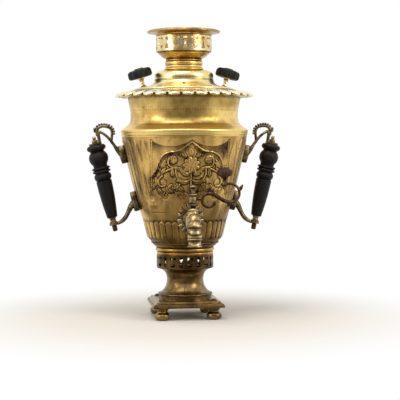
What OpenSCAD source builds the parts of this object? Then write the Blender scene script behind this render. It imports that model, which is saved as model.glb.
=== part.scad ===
// Charcoal samovar of the vase shape: a brass urn with a fire tube up its middle, a front tap with a
// branch key, two side handles, a lift-off lid and a pierced teapot stand. Z = 0 is the surface that
// the four feet stand on, the tap points along -Y and the handles lie on X.

/* [Base and pedestal] */
// Side of the square base plate
base_w = 98; // [90:1:110]
// Thickness of the base plate
base_t = 8.5; // [7:0.5:11]
// Height of the feet below the base plate
foot_h = 17; // [14:0.5:20]
// Largest radius of a foot
foot_r = 10.5; // [9:0.5:12]
// How far the pedestal's lip, on the base plate, stands in from the air gallery above
lip_in = 1.5; // [0.5:0.5:3]
// Radius of the pedestal's waist
waist_r = 25.5; // [22:0.5:28]
// Height of the pedestal below the air gallery
pedestal_h = 44; // [40:1:50]
// How far the pierced air gallery stands in from the seam of the body
gallery_in = 7.7; // [6:0.1:9]
// Height of the air gallery
gallery_h = 18.5; // [18:0.5:22]
// Number of pierced figures round the air gallery
figures = 20; // [16:2:22]

/* [Body] */
// Thickness of the sheet brass
sheet = 1.6; // [1.2:0.1:2]
// Height of the turned foot ring below the body
ring_h = 17.7; // [16:0.1:20]
// Radius of the body where it stands on the foot ring
seam_r = 47.2; // [46:0.2:49]
// Height of the gadrooned cup
cup_h = 26; // [24:0.5:29]
// Radius of the body at the top of the gadrooned cup
cup_r = 57.3; // [56:0.1:59]
// Number of gadroons round the cup
gadroons = 36; // [30:2:40]
// Height of the sloping wall, from the cup to the belt
wall_h = 120.3; // [112:0.1:130]
// Radius at the top of the sloping wall
belt_r = 87.2; // [84:0.1:90]
// How far the sloping wall swells out halfway up
swell = 1.2; // [0:0.1:2]
// Height of the belt
belt_h = 11.2; // [9:0.1:14]
// Height of the shoulder, from the belt to the neck
shoulder_h = 14; // [12:0.5:17]
// Radius of the neck
neck_r = 74.5; // [72:0.5:77]
// Height of the neck above the shoulder
neck_h = 28; // [25:0.5:32]
// Radius of the mouth, at the top of the neck
mouth_r = 78.4; // [77.5:0.1:80]

/* [Scalloped rim] */
// Radius to the tips of the scallops
rim_r = 95.9; // [94:0.1:98]
// Height of the rim above the mouth
rim_h = 10; // [8:0.5:12]
// Radius of the opening that the lid drops into
rim_hole_r = 66; // [64:0.5:67]
// Number of scallops
scallops = 31; // [29:1:33]
// How far the rim is turned round on the mouth
scallop_turn = 2.4; // [-6:0.1:6]

/* [Fire tube] */
// Width of the water space at the foot of the fire tube
fire_gap = 13.2; // [12:0.2:16]
// Outer radius of the fire tube at its top
flue_r = 24; // [23:0.5:24.5]
// Largest radius of the turned collar on top of the fire tube
collar_r = 27.7; // [27.2:0.1:28.2]
// Height of that collar
collar_h = 12.5; // [11:0.5:14]
// Thickness of the grate
grate_t = 3; // [2:0.5:4]

/* [Lid] */
// Outer radius of the lid
lid_r = 68.8; // [68:0.2:70]
// Height of the lid above the rim
lid_h = 27; // [25:0.1:30]
// Radius of the raised collar in the middle of the lid
lid_collar_r = 41; // [39:0.5:43]
// Depth of the skirt that centres the lid in the rim
skirt_h = 8; // [6:0.5:9]
// Place of the knob stems on the lid's slope, as a part of the way down it
lid_stem_place = 0.7; // [0.6:0.01:0.75]
// Lean of the lid knobs, outwards
lid_knob_lean = 16; // [12:1:22]
// Radius of a lid knob
lid_knob_r = 17; // [15:0.5:18]
// Thickness of a lid knob
lid_knob_t = 11; // [9:0.2:13]
// Length of the bare stem below a lid knob
lid_stem_h = 12.5; // [10:0.5:15]
// Radius of the steam hole
steam_r = 2; // [1.5:0.1:3]
// Place of the steam hole, round the lid from the tap's side
steam_turn = -7; // [-30:1:30]

/* [Teapot stand] */
// Radius of the pierced cup of the teapot stand
stand_r = 38.5; // [38:0.5:41]
// Height of the pierced cup
stand_h = 20.5; // [19:0.5:24]
// Radius to the edge of the flared brim
brim_r = 50.8; // [49:0.2:53]
// Number of pierced figures round the cup
crown_figures = 18; // [16:2:20]
// Height of the flared brim
brim_h = 9; // [8:0.5:11]
// Height of the bowl below the pierced cup
bowl_h = 13.5; // [12:0.5:15]
// Depth of the spigot that drops into the fire tube
spigot_h = 10; // [8:0.5:10.5]

/* [Handles] */
// Height of the lower bracket's foot above the seam of the body
lower_foot_z = 57; // [52:1:62]
// Height of the upper bracket's foot above the seam of the body
upper_foot_z = 122; // [118:1:126]
// Distance from the body's axis to the lower eye
eye_reach = 98.9; // [96:0.1:102]
// Height of the lower eye below the lower bracket's foot
eye_drop = 31.8; // [29:0.2:34]
// Lean of the handles, outwards at the top
handle_lean = 12.6; // [11:0.2:15]
// Length of the turned wooden grip
grip_l = 102.5; // [99:0.5:106]
// Radius of the grip at its foot
grip_foot_r = 7.2; // [6.5:0.1:8]
// Radius of the grip below its bead
grip_top_r = 10.8; // [10:0.1:11.5]
// Radius of the ball of the grip
grip_ball_r = 13.4; // [12.8:0.1:14]
// Radius of the iron tie rod through a handle
rod_r = 2; // [1.6:0.1:2.4]

/* [Tap] */
// Distance from the body's axis to the axis of the key
tap_reach = 92; // [89:0.5:96]
// Height of the tap's shank above the seam of the body
tap_z = 36; // [33:0.5:39]
// Radius of the water way
water_r = 2.8; // [2.2:0.1:3]
// Radius of the key's plug at its top
plug_r = 5; // [4.6:0.1:5.4]
// How much smaller the plug is at its bottom
plug_taper = 0.8; // [0.5:0.1:1]
// Radius of the barrel round the plug
barrel_r = 9.8; // [9:0.1:10.5]
// Distance from the key's axis to the middle of the spout's mouth
spout_reach = 16; // [15:0.5:18]
// Height from the middle of the shank down to the spout's mouth
spout_drop = 36; // [33:0.5:39]
// Radius of the spout's lip
spout_lip_r = 9.7; // [9:0.1:10.5]
// Height of the rosette behind the tap
rosette_h = 46; // [42:0.5:49]
// Width of the rosette
rosette_w = 35.5; // [33:0.5:38]
// Number of petals round the rosette
petals = 16; // [12:2:20]

/* [Key] */
// Height of the key's stem above the barrel
key_h = 31; // [29:0.5:34]
// Distance from the key's axis to the wooden key knob
key_reach = 42.5; // [40:0.5:46]
// Radius of the key knob
key_knob_r = 10.4; // [9:0.2:12]
// Thickness of the key knob
key_knob_t = 12; // [10:0.5:14]

/* [Hidden] */
$fn = 72;

left = -1;
right = 1;
brass = "#b98d3e";
dark_brass = "#7a6236";
iron = "#3c3936";
black_wood = "#1d1b1a";
brown_wood = "#3a2a20";

// Clearances: a soldered or clamped seat on a round wall, a loose part in its hole, the key's taper
seat_gap = 0.1;
loose_gap = 0.6;
key_gap = 0.08;
eps = 0.01;

// The air gallery, the pedestal below it and the fire tube stand within the seam of the body
gallery_r = seam_r - gallery_in;
lip_r = gallery_r - lip_in;
fire_r = seam_r - fire_gap;

// Heights of the stacked pieces, from the standing surface up
base_z = foot_h;
pedestal_z = base_z + base_t;
gallery_z = pedestal_z + pedestal_h;
ring_z = gallery_z + gallery_h;
seam_z = ring_z + ring_h;
wall_z = seam_z + cup_h;
belt_z = wall_z + wall_h;
shoulder_z = belt_z + belt_h;
neck_z = shoulder_z + shoulder_h;
mouth_z = neck_z + neck_h;
rim_z = mouth_z + rim_h;
lid_top = rim_z + lid_h;
collar_z = lid_top + 0.5;
stand_z = collar_z + collar_h;
stand_cup_z = stand_z + bowl_h;
brim_z = stand_cup_z + stand_h;

// The body's axis stands behind the middle of the footprint, because the tap reaches forwards
axis_y = (tap_reach + spout_reach + spout_lip_r - rim_r) / 2;

// Radius of the sloping wall at height z
function wall_part(z) = (z - wall_z) / wall_h;
function wall_r(z) = cup_r + (belt_r - cup_r) * wall_part(z) + 4 * swell * wall_part(z) * (1 - wall_part(z));
wall_lean = atan((belt_r - cup_r) / wall_h);

// Point on a cubic curve with control points p, and a run of n steps along it
function bezier(p, t) = pow(1 - t, 3) * p[0] + 3 * pow(1 - t, 2) * t * p[1]
    + 3 * (1 - t) * t * t * p[2] + pow(t, 3) * p[3];
function curve(p, n) = [for (i = [0:n]) bezier(p, i / n)];
// The same run without its first point, to follow another run
function curve_on(p, n) = [for (i = [1:n]) bezier(p, i / n)];
function shift(points, v) = [for (p = points) p + v];
function reversed(points) = [for (i = [len(points) - 1:-1:0]) points[i]];
// Arc of n steps from angle a to angle b about the point c
function arc(c, r, a, b, n) = [for (i = [0:n]) c + r * [cos(a + (b - a) * i / n), sin(a + (b - a) * i / n)]];

module on_axis() {
    translate([0, axis_y, 0]) children();
}

module on_side(side) {
    on_axis() mirror([side < 0 ? 1 : 0, 0, 0]) children();
}

// A sheet turned about the axis: its outline is the run of points, thickened inwards by t
module spun_sheet(points, t = sheet) {
    rotate_extrude() polygon(concat(points, reversed(shift(points, [-t, 0]))));
}

// A tapering bar of eight sides along a path in the XZ plane, wide times as thick along Y
module swept_bar(path, r0, r1, wide = 1) {
    sides = 8;
    n = len(path);
    function along(i) = path[min(i + 1, n - 1)] - path[max(i - 1, 0)];
    function across(i) = [-along(i)[1], along(i)[0]] / norm(along(i));
    function thick(i) = r0 + (r1 - r0) * i / (n - 1);
    points = [
        for (i = [0:n - 1], k = [0:sides - 1])
            let (c = cos(360 * (k + 0.5) / sides), s = sin(360 * (k + 0.5) / sides))
            let (p = path[i] + thick(i) * c * across(i))
            [p[0], wide * thick(i) * s, p[1]]
    ];
    walls = [
        for (i = [0:n - 2], k = [0:sides - 1])
            let (a = i * sides + k, b = i * sides + (k + 1) % sides)
            each [[a, b, b + sides], [a, b + sides, a + sides]]
    ];
    ends = [
        [for (k = [sides - 1:-1:0]) k],
        [for (k = [0:sides - 1]) (n - 1) * sides + k]
    ];
    polyhedron(points, concat(walls, ends));
}

// ---------------------------------------------------------------- base and pedestal

// Turned bun foot with a socket for its screw
screw_r = 2.5;
screw_depth = 9;
foot_inset = foot_r + 3;

module foot(x, y) {
    neck = 0.62 * foot_r;
    color(brass)
    on_axis() translate([x * (base_w / 2 - foot_inset), y * (base_w / 2 - foot_inset), 0])
    difference() {
        rotate_extrude() polygon(concat(
            [[0, 0], [0.55 * foot_r, 0]],
            curve_on([[0.55 * foot_r, 0], [0.9 * foot_r, 0.02 * foot_h], [1.05 * foot_r, 0.2 * foot_h],
                [foot_r, 0.38 * foot_h]], 5),
            curve_on([[foot_r, 0.38 * foot_h], [0.95 * foot_r, 0.55 * foot_h], [neck, 0.6 * foot_h],
                [neck, 0.72 * foot_h]], 5),
            [[neck, 0.78 * foot_h], [0.8 * foot_r, 0.82 * foot_h], [0.8 * foot_r, foot_h], [0, foot_h]]
        ));
        translate([0, 0, foot_h - screw_depth]) cylinder(h = screw_depth + 1, r = screw_r + seat_gap);
    }
}

module foot_screws() {
    dome_r = 5.2;
    dome_low = 2.2;
    color(iron)
    on_axis() for (x = [-1, 1], y = [-1, 1])
        translate([x * (base_w / 2 - foot_inset), y * (base_w / 2 - foot_inset), 0]) {
            translate([0, 0, foot_h - screw_depth + 1]) cylinder(h = screw_depth + base_t - 1, r = screw_r);
            translate([0, 0, pedestal_z]) rotate_extrude()
                polygon(concat([[0, 0]], arc([0, -dome_low], dome_r, asin(dome_low / dome_r), 90, 5)));
        }
}

// Square cast plate: one edge moulding run both ways and mitred
base_hole_r = waist_r - 3.5;

module edge_moulding() {
    half = base_w / 2;
    side = concat(
        [[half, 0], [half, 0.3 * base_t]],
        arc([half - 1, 0.3 * base_t], 1, 0, 90, 3),
        curve_on([[half - 1, 0.3 * base_t + 1], [half - 1, 0.75 * base_t], [half - 5, 0.6 * base_t],
            [half - 5, base_t]], 6)
    );
    translate([0, base_w / 2 + 1, 0]) rotate([90, 0, 0]) linear_extrude(height = base_w + 2)
        polygon(concat(side, reversed([for (p = side) [-p[0], p[1]]])));
}

module base_plate() {
    color(brass)
    on_axis() translate([0, 0, base_z]) difference() {
        intersection() {
            edge_moulding();
            rotate([0, 0, 90]) edge_moulding();
        }
        translate([0, 0, -1]) cylinder(h = base_t + 2, r = base_hole_r);
        for (x = [-1, 1], y = [-1, 1])
            translate([x * (base_w / 2 - foot_inset), y * (base_w / 2 - foot_inset), -1])
                cylinder(h = base_t + 2, r = screw_r + seat_gap);
    }
}

// Spun pedestal: a step on the plate, a rolled lip, a waist and a bowl that carries the gallery
step_h = 6.5;

module pedestal() {
    step_r = lip_r - 1.2;
    waist_z = 0.62 * pedestal_h;
    points = concat(
        [[step_r, 0], [step_r, step_h]],
        arc([lip_r - 0.9, step_h + 0.9], 0.9, -60, 90, 4),
        curve([[lip_r - 2, step_h + 2.2], [waist_r + 3.5, step_h + 5.5], [waist_r, waist_z - 8],
            [waist_r, waist_z]], 8),
        curve_on([[waist_r, waist_z], [waist_r, waist_z + 8], [waist_r + 3, pedestal_h - 3],
            [gallery_r - 1, pedestal_h - 0.6]], 8),
        [[gallery_r, pedestal_h]]
    );
    inner = concat(
        [[step_r - sheet, 0], [step_r - sheet, step_h + 1]],
        curve([[lip_r - 2 - sheet, step_h + 1.2], [waist_r + 2.5 - sheet, step_h + 4], [waist_r - sheet, waist_z - 8],
            [waist_r - sheet, waist_z]], 8),
        curve_on([[waist_r - sheet, waist_z], [waist_r - sheet, waist_z + 9], [waist_r + 2, pedestal_h - 1],
            [gallery_r - 5, pedestal_h]], 8)
    );
    color(brass)
    on_axis() translate([0, 0, pedestal_z]) rotate_extrude() polygon(concat(points, reversed(inner)));
}

// How far the figures of the air gallery and of the stand are turned round from the tap's side
gallery_turn = 3.5;
crown_turn = -23.3;

// The two pierced figures: a pair of rings over a bowl, and a keyhole
module ring_figure() {
    for (x = [-1, 1]) translate([2.9 * x, 4.5]) circle(r = 2, $fn = 24);
    difference() {
        translate([0, -3.6]) circle(r = 4, $fn = 32);
        translate([-5, -3]) square([10, 5]);
        translate([0, -2.6]) circle(r = 1.3, $fn = 24);
    }
}

module keyhole_figure() {
    translate([0, 4.2]) circle(r = 2.7, $fn = 24);
    polygon([[-1.1, 3], [-1.1, -1], [-3, -7.2], [3, -7.2], [1.1, -1], [1.1, 3]]);
}

module pierced_band(r, h, count, size = 1) {
    difference() {
        rotate_extrude() translate([r - sheet, 0]) square([sheet, h]);
        for (i = [0:count - 1]) rotate([0, 0, i * 360 / count])
            translate([r - 4, 0, h / 2 + 0.4]) rotate([90, 0, 90]) linear_extrude(height = 6) scale(size)
                if (i % 2 == 0) ring_figure();
                else keyhole_figure();
    }
}

module air_gallery() {
    color(brass)
    on_axis() translate([0, 0, gallery_z]) rotate([0, 0, gallery_turn - 90])
        pierced_band(gallery_r, gallery_h, figures);
}

// ---------------------------------------------------------------- body

// Turned ring under the body: its inner ledge carries the fire tube and the grate
ledge_t = 2.5;
ledge_z = ring_z + 0.5 * ring_h;

module foot_ring() {
    bore = fire_r + 2.5;
    half = 0.5 * ring_h;
    color(brass)
    on_axis() translate([0, 0, ring_z]) rotate_extrude() polygon(concat(
        [[gallery_r - 2.5, 0], [gallery_r, 0]],
        arc([gallery_r - 1.6, 2.2], 1.6, -60, 60, 4),
        [[gallery_r - 1.2, 4]],
        arc([gallery_r - 1.2, 7.4], 2.6, -70, 70, 6),
        curve_on([[gallery_r + 0.2, 10.2], [gallery_r + 1.8, 0.66 * ring_h], [seam_r - 4, 0.74 * ring_h],
            [seam_r - 2.2, ring_h - 2.4]], 5),
        [[seam_r, ring_h - 1.2], [seam_r, ring_h], [bore, ring_h], [bore, half]],
        [[fire_r - 5, half], [fire_r - 5, half - ledge_t], [gallery_r - 2.5, half - ledge_t]]
    ));
}

// Spun cup, its wall cut by upright round grooves into gadroons
cup_lip_z = 0.24;
groove_d = 0.9;

module gadrooned_cup() {
    lip_h = cup_lip_z * cup_h;
    low_r = cup_r - (cup_h - lip_h) * tan(wall_lean);
    groove_r = 2.4;
    wall = sheet + groove_d;
    color(brass)
    on_axis() translate([0, 0, seam_z]) difference() {
        rotate_extrude() polygon(concat(
            [[seam_r - wall, 0], [seam_r, 0]],
            curve_on([[seam_r, 0], [seam_r + 1.2, 2.6], [low_r - 1.5, lip_h - 3], [low_r - 1.5, lip_h]], 4),
            [[low_r, lip_h], [cup_r, cup_h], [cup_r - sheet, cup_h], [low_r - wall, lip_h]]
        ));
        for (i = [0:gadroons - 1]) rotate([0, 0, (i + 0.5) * 360 / gadroons])
            translate([low_r + groove_r - groove_d, 0, lip_h]) rotate([0, wall_lean + 0.7, 0])
                translate([0, 0, -6]) cylinder(h = 0.8 * cup_h + 6, r = groove_r);
    }
}

// Outline of the vase from the top of the cup to the mouth, out from the surface by more
function vase(more) = concat(
    [for (i = [0:8]) let (z = wall_z + wall_h * i / 8) [wall_r(z) + more, z]],
    [[belt_r + 0.3 + more, belt_z + 0.2 * belt_h]],
    arc([belt_r - 1.9 + more, belt_z + 0.55 * belt_h], 3.2, -40, 60, 6),
    curve([[belt_r - 2.1 + more, belt_z + belt_h], [belt_r - 7.5 + more, shoulder_z + 3],
        [neck_r + more, shoulder_z + 0.35 * shoulder_h], [neck_r + more, neck_z]], 8),
    curve_on([[neck_r + more, neck_z], [neck_r + more, neck_z + 0.4 * neck_h],
        [mouth_r - 1.8 + more, mouth_z - 0.35 * neck_h], [mouth_r + more, mouth_z]], 6)
);

module vase_solid(more) {
    points = vase(more);
    rotate_extrude() polygon(concat([[0, wall_z]], points, [[0, mouth_z]]));
}

// Part of the wall between two heights as a plain cone, out from the surface by more
module wall_cone(z0, z1, more) {
    translate([0, 0, z0]) rotate([0, 0, 90]) cylinder(h = z1 - z0, r1 = wall_r(z0) + more, r2 = wall_r(z1) + more);
}

shank_r = 6;
shank_z = seam_z + tap_z;

module body_shell() {
    color(brass)
    on_axis() difference() {
        spun_sheet(vase(0));
        translate([0, 0, shank_z]) rotate([90, 0, 0]) cylinder(h = tap_reach, r = shank_r + seat_gap);
    }
}

// Rolled rim soldered on the mouth, its edge cut into scallops
module scallop_outline() {
    tip_r = 0.106 * rim_r * 30 / (scallops - 1);
    circle(r = rim_r - 0.9 * tip_r);
    for (i = [0:scallops - 1]) rotate(90 + scallop_turn + i * 360 / scallops)
        translate([rim_r - tip_r, 0]) circle(r = tip_r, $fn = 48);
}

module scalloped_rim() {
    collar = 2.9;
    edge_z = 0.31 * rim_h;
    edge_t = 3.7;
    top = curve([[rim_hole_r + 4.5, rim_h], [rim_hole_r + 12, rim_h - 0.3], [rim_r - 8, rim_h - 2.5],
        [rim_r, edge_z]], 8);
    underside = curve([[rim_r, edge_z - edge_t], [rim_r - 6, edge_z - 0.2], [mouth_r + 7, 1],
        [mouth_r, 0]], 8);
    color(brass)
    on_axis() translate([0, 0, mouth_z]) intersection() {
        rotate_extrude() polygon(concat(
            [[rim_hole_r, 0.5], [rim_hole_r, rim_h]], top, underside,
            [[mouth_r - collar, 0], [mouth_r - collar, 0.62 * rim_h]],
            [[rim_hole_r + 2, 0.62 * rim_h], [rim_hole_r + 2, 0.5]]
        ));
        translate([0, 0, -1]) linear_extrude(height = rim_h + 2) scallop_outline();
    }
}

// ---------------------------------------------------------------- fire tube

// Outer radius of the fire tube at height z
function tube_r(z) = fire_r + (flue_r - fire_r) * (z - ledge_z) / (collar_z - ledge_z);

module fire_tube() {
    color(dark_brass)
    on_axis() spun_sheet([[fire_r, ledge_z], [flue_r, collar_z]]);
}

module body_floor() {
    floor_t = 1.5;
    color(dark_brass)
    on_axis() translate([0, 0, seam_z]) difference() {
        cylinder(h = floor_t, r = seam_r - sheet - groove_d - seat_gap);
        translate([0, 0, -1]) cylinder(h = floor_t + 2, r = tube_r(seam_z) + seat_gap);
    }
}

// Cast grate with rows of slots, loose on the ledge
module grate() {
    grate_r = fire_r - sheet - loose_gap;
    slot_w = 4;
    pitch = 7;
    rows = floor((grate_r - 5) / pitch);
    color(iron)
    on_axis() translate([0, 0, ledge_z]) difference() {
        cylinder(h = grate_t, r = grate_r);
        for (i = [-rows:rows])
            let (half = sqrt(pow(grate_r - 6, 2) - pow(i * pitch, 2)))
            translate([-half, i * pitch - slot_w / 2, -1]) cube([2 * half, slot_w, grate_t + 2]);
    }
}

// Turned collar on the end of the fire tube, with two beads below a plain neck
module flue_collar() {
    bead = collar_h / 6;
    color(brass)
    on_axis() translate([0, 0, collar_z]) rotate_extrude() difference() {
        union() {
            translate([flue_r - sheet, 0]) square([collar_r - 1.6 - flue_r + sheet, collar_h - 1]);
            translate([flue_r - sheet, 0]) square([collar_r - 3 - flue_r + sheet, collar_h]);
            translate([collar_r - bead, bead]) circle(r = bead, $fn = 32);
            translate([collar_r - 0.6 - 0.8 * bead, 3 * bead]) circle(r = 0.8 * bead, $fn = 32);
        }
        translate([0, -5]) square([flue_r - sheet, collar_h + 10]);
        translate([0, -5]) square([collar_r + 5, 5]);
    }
}

// ---------------------------------------------------------------- lid

lid_hole_r = collar_r + loose_gap;

// Height of the lid's outer surface above the rim, at radius r on its slope
slope_top = 0.5 * lid_h;
function lid_slope(t) = bezier([[lid_collar_r + 0.3, slope_top], [lid_collar_r + 1.5, 0.27 * lid_h],
    [lid_r - 14, 0.12 * lid_h], [lid_r - 3, 2.2]], t);

module lid_shell() {
    outer = concat(
        [[lid_hole_r, lid_h - 1.4], [lid_hole_r, lid_h]],
        curve([[lid_hole_r + 2, lid_h], [lid_collar_r - 3, lid_h], [lid_collar_r - 0.4, lid_h - 3],
            [lid_collar_r, lid_h - 8]], 6),
        [for (i = [0:8]) lid_slope(i / 8)],
        arc([lid_r - 1.3, 1.3], 1.3, 90, -90, 6)
    );
    inner = concat(
        [[lid_hole_r, lid_h - sheet], [lid_hole_r + 2, lid_h - sheet]],
        curve_on([[lid_hole_r + 2, lid_h - sheet], [lid_collar_r - 4, lid_h - sheet],
            [lid_collar_r - sheet - 0.4, lid_h - 4], [lid_collar_r - sheet, lid_h - 8]], 6),
        [for (i = [0:8]) lid_slope(i / 8) - [sheet * (1 - i / 16), sheet * i / 8]],
        [[rim_hole_r - loose_gap - sheet, 0]]
    );
    color(brass)
    difference() {
        on_axis() translate([0, 0, rim_z]) difference() {
            rotate_extrude() polygon(concat(outer, reversed(inner)));
            rotate([0, 0, steam_turn]) translate([0, -lid_slope(0.35)[0], lid_slope(0.35)[1] - 6])
                cylinder(h = 12, r = steam_r);
        }
        for (side = [left, right]) on_lid_stem(side) {
            translate([0, 0, -12]) cylinder(h = 24, r = lid_stem_rod + seat_gap);
            cylinder(h = 6, r = 4.8);
        }
    }
}

// Plain ring soldered under the lid, which centres it in the rim
module lid_skirt() {
    skirt_r = rim_hole_r - loose_gap;
    color(brass)
    on_axis() translate([0, 0, rim_z - skirt_h]) difference() {
        cylinder(h = skirt_h, r = skirt_r);
        translate([0, 0, -1]) cylinder(h = skirt_h + 2, r = skirt_r - sheet);
    }
}

lid_stem_rod = 1.6;
lid_stem_at = lid_slope(lid_stem_place);

// Frame of a lid knob: up its stem, from the flat that is faced for it on the lid's slope
module on_lid_stem(side) {
    on_axis() translate([side * lid_stem_at[0], 0, rim_z + lid_stem_at[1] - 0.4])
        rotate([0, side * lid_knob_lean, 0]) children();
}

module lid_stem(side) {
    seat_h = 1.4;
    knob_z = seat_h + lid_stem_h;
    color(brass)
    on_lid_stem(side) rotate_extrude() polygon(concat(
        [[0, -5], [lid_stem_rod, -5], [lid_stem_rod, 0], [4.2, 0], [4.4, seat_h + 1]],
        curve_on([[4.4, seat_h + 1], [1.8, seat_h + 1.5], [2.2, knob_z - 6], [3, knob_z - 4]], 5),
        curve_on([[3, knob_z - 4], [3.6, knob_z - 3], [3, knob_z - 1.4], [5.2, knob_z - 1.2]], 4),
        [[5.2, knob_z], [lid_stem_rod, knob_z], [lid_stem_rod, knob_z + 0.7 * lid_knob_t]],
        [[0, knob_z + 0.7 * lid_knob_t]]
    ));
}

// Flat turned knob of radius r and thickness t, standing on z = 0, its edge cut with flutes
module fluted_knob(r, t, bore, flutes) {
    difference() {
        rotate_extrude() polygon(concat(
            [[bore, 0], [0.55 * r, 0]],
            curve_on([[0.55 * r, 0], [0.8 * r, 0], [r, 0.12 * t], [r, 0.42 * t]], 5),
            curve_on([[r, 0.42 * t], [r, 0.75 * t], [0.8 * r, 0.9 * t], [0.5 * r, t]], 5),
            [[bore, t]]
        ));
        for (i = [0:flutes - 1]) rotate([0, 0, (i + 0.5) * 360 / flutes])
            translate([r + 0.11 * r, 0, -1]) cylinder(h = t + 2, r = 0.2 * r, $fn = 24);
    }
}

module lid_knob(side) {
    blind = 0.7 * lid_knob_t + loose_gap;
    color(brown_wood)
    on_lid_stem(side) translate([0, 0, 1.4 + lid_stem_h]) {
        fluted_knob(lid_knob_r, lid_knob_t, lid_stem_rod + seat_gap, 10);
        rotate([0, 0, 90]) translate([0, 0, blind]) cylinder(h = lid_knob_t + 1.4 - blind, r1 = 6.4, r2 = 5.6);
    }
}

// ---------------------------------------------------------------- teapot stand

module stand_bowl() {
    neck_out = collar_r - 2.8;
    spigot_out = flue_r - sheet - 0.3;
    spigot_in = spigot_out - 1.5;
    points = concat(
        [[spigot_out, -spigot_h], [spigot_out, 0], [neck_out, 0], [neck_out, 1.5]],
        arc([neck_out - 0.2, 2.7], 1.2, -60, 60, 4),
        curve([[neck_out, 4], [neck_out + 3.5, 4.5], [neck_out + 5.5, 6.2], [neck_out + 7.5, 8.4]], 5),
        curve_on([[neck_out + 7.5, 8.4], [neck_out + 9.5, 10.2], [stand_r - 2.6, bowl_h - 3],
            [stand_r - 2.4, bowl_h - 1.2]], 4),
        [[stand_r - 0.4, bowl_h - 1], [stand_r - 0.4, bowl_h]]
    );
    inner = concat(
        [[spigot_in, -spigot_h], [spigot_in, 4]],
        curve([[spigot_in + 0.6, 5.2], [neck_out + 3, 6.2], [neck_out + 5, 8.4], [neck_out + 7, 10.6]], 5),
        [[stand_r - 4.4, bowl_h - 1.2], [stand_r - 4.4, bowl_h]]
    );
    color(brass)
    on_axis() translate([0, 0, stand_z]) rotate_extrude() polygon(concat(points, reversed(inner)));
}

module stand_gallery() {
    color(brass)
    on_axis() translate([0, 0, stand_cup_z]) rotate([0, 0, crown_turn - 90])
        pierced_band(stand_r, stand_h, crown_figures, 1.15);
}

// Flared brim with a rolled edge and a narrow flat on top for the teapot
module stand_brim() {
    roll = 1.4;
    color(brass)
    on_axis() translate([0, 0, brim_z]) rotate_extrude() polygon(concat(
        [[stand_r - sheet, 0], [stand_r, 0], [stand_r, 1.5]],
        curve_on([[stand_r, 1.5], [stand_r + 1, 4], [brim_r - 7, 4.2], [brim_r - 1.6, brim_h - 3.9]], 7),
        arc([brim_r - roll, brim_h - 2.3], roll, -50, 70, 5),
        [[brim_r - 4, brim_h], [brim_r - 6, brim_h]],
        curve_on([[brim_r - 6, brim_h], [stand_r + 3, brim_h - 2.5], [stand_r - sheet, 5],
            [stand_r - sheet, 2]], 6)
    ));
}

// ---------------------------------------------------------------- handles

eye_t = 3.6;
ferrule_h = 7.2;
top_eye_t = 3;
grip_s = eye_t / 2 + ferrule_h;
top_eye_s = grip_s + grip_l;
nut_s = top_eye_s + top_eye_t;
lower_foot = [wall_r(seam_z + lower_foot_z), seam_z + lower_foot_z];
upper_foot = [wall_r(seam_z + upper_foot_z), seam_z + upper_foot_z];
lower_eye = [eye_reach, lower_foot[1] - eye_drop];
upper_eye = lower_eye + (top_eye_s + top_eye_t / 2) * [sin(handle_lean), cos(handle_lean)];

// Frame up the handle's axis, from the middle of the lower eye
module on_handle(side) {
    on_side(side) translate([lower_eye[0], 0, lower_eye[1]]) rotate([0, handle_lean, 0]) children();
}

// Leaf outline, h long and w wide, between two arcs
module leaf_outline(h, w) {
    r = (h * h / 4 + w * w / 4) / w;
    intersection() {
        translate([r - w / 2, 0]) circle(r = r);
        translate([w / 2 - r, 0]) circle(r = r);
    }
}

// Leaf-shaped foot of a bracket at the point p of the wall, cut to the wall's curve
module bracket_foot(p, h, w, t) {
    reach = h / 2 + 1;
    bulge = 4 * swell * pow(reach / wall_h, 2);
    difference() {
        translate([p[0], 0, p[1]]) rotate([0, wall_lean, 0]) {
            translate([-4, 0, 0]) rotate([90, 0, 90]) linear_extrude(height = t + 4) leaf_outline(h, w);
            rotate([0, 90, 0]) cylinder(h = t + 3, r1 = 0.42 * w, r2 = 0.3 * w);
        }
        wall_cone(p[1] - reach, p[1] + reach, seat_gap + bulge);
    }
}

module rod_hole() {
    translate([0, 0, -20]) cylinder(h = 40, r = rod_r + seat_gap);
}

// Scroll bracket: an arm up to a loop with a beaded back, and a stub down to the eye
module upper_bracket(side) {
    f = upper_foot;
    e = upper_eye;
    arm = curve([f + [4, -1], f + [15, 6], e + [-24, 8], e + [-8, 16]], 12);
    stub = concat(
        curve([e + [-8, 16], e + [-4.5, 18], e + [-3.6, 15], e + [-4.6, 10]], 6),
        curve_on([e + [-4.6, 10], e + [-5, 7], e + [-6.2, 5], e + [-6.4, 1]], 3)
    );
    loop = concat(
        curve([e + [-22.5, 2], e + [-20, 10], e + [-25, 23.4], e + [-12, 23.4]], 12),
        curve_on([e + [-12, 23.4], e + [-4, 23.4], e + [2.4, 22.6], e + [2.2, 18.8]], 7),
        curve_on([e + [2.2, 18.8], e + [2, 16], e + [-2.5, 15.2], e + [-4.6, 16]], 3)
    );
    color(dark_brass) {
        on_side(side) {
            bracket_foot(f, 26, 15, 5);
            swept_bar([f + [4.5, -1], f + [9, 2.6], f + [13.5, 5.8], f + [18, 9.6]], 6.6, 2.2, 0.6);
            swept_bar(arm, 3, 1.9, 1.3);
            swept_bar(stub, 2, 2.3, 1.2);
            swept_bar(loop, 2, 1.7, 1.3);
            for (i = [6:20])
                let (d = loop[i + 1] - loop[i - 1])
                let (p = loop[i] + 1.9 * [-d[1], d[0]] / norm(d))
                if (i % 2 == 0) translate([p[0], 0, p[1]]) sphere(r = 1.7, $fn = 24);
        }
        on_handle(side) translate([0, 0, top_eye_s]) difference() {
            cylinder(h = top_eye_t, r = 9);
            rod_hole();
        }
    }
}

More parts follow.
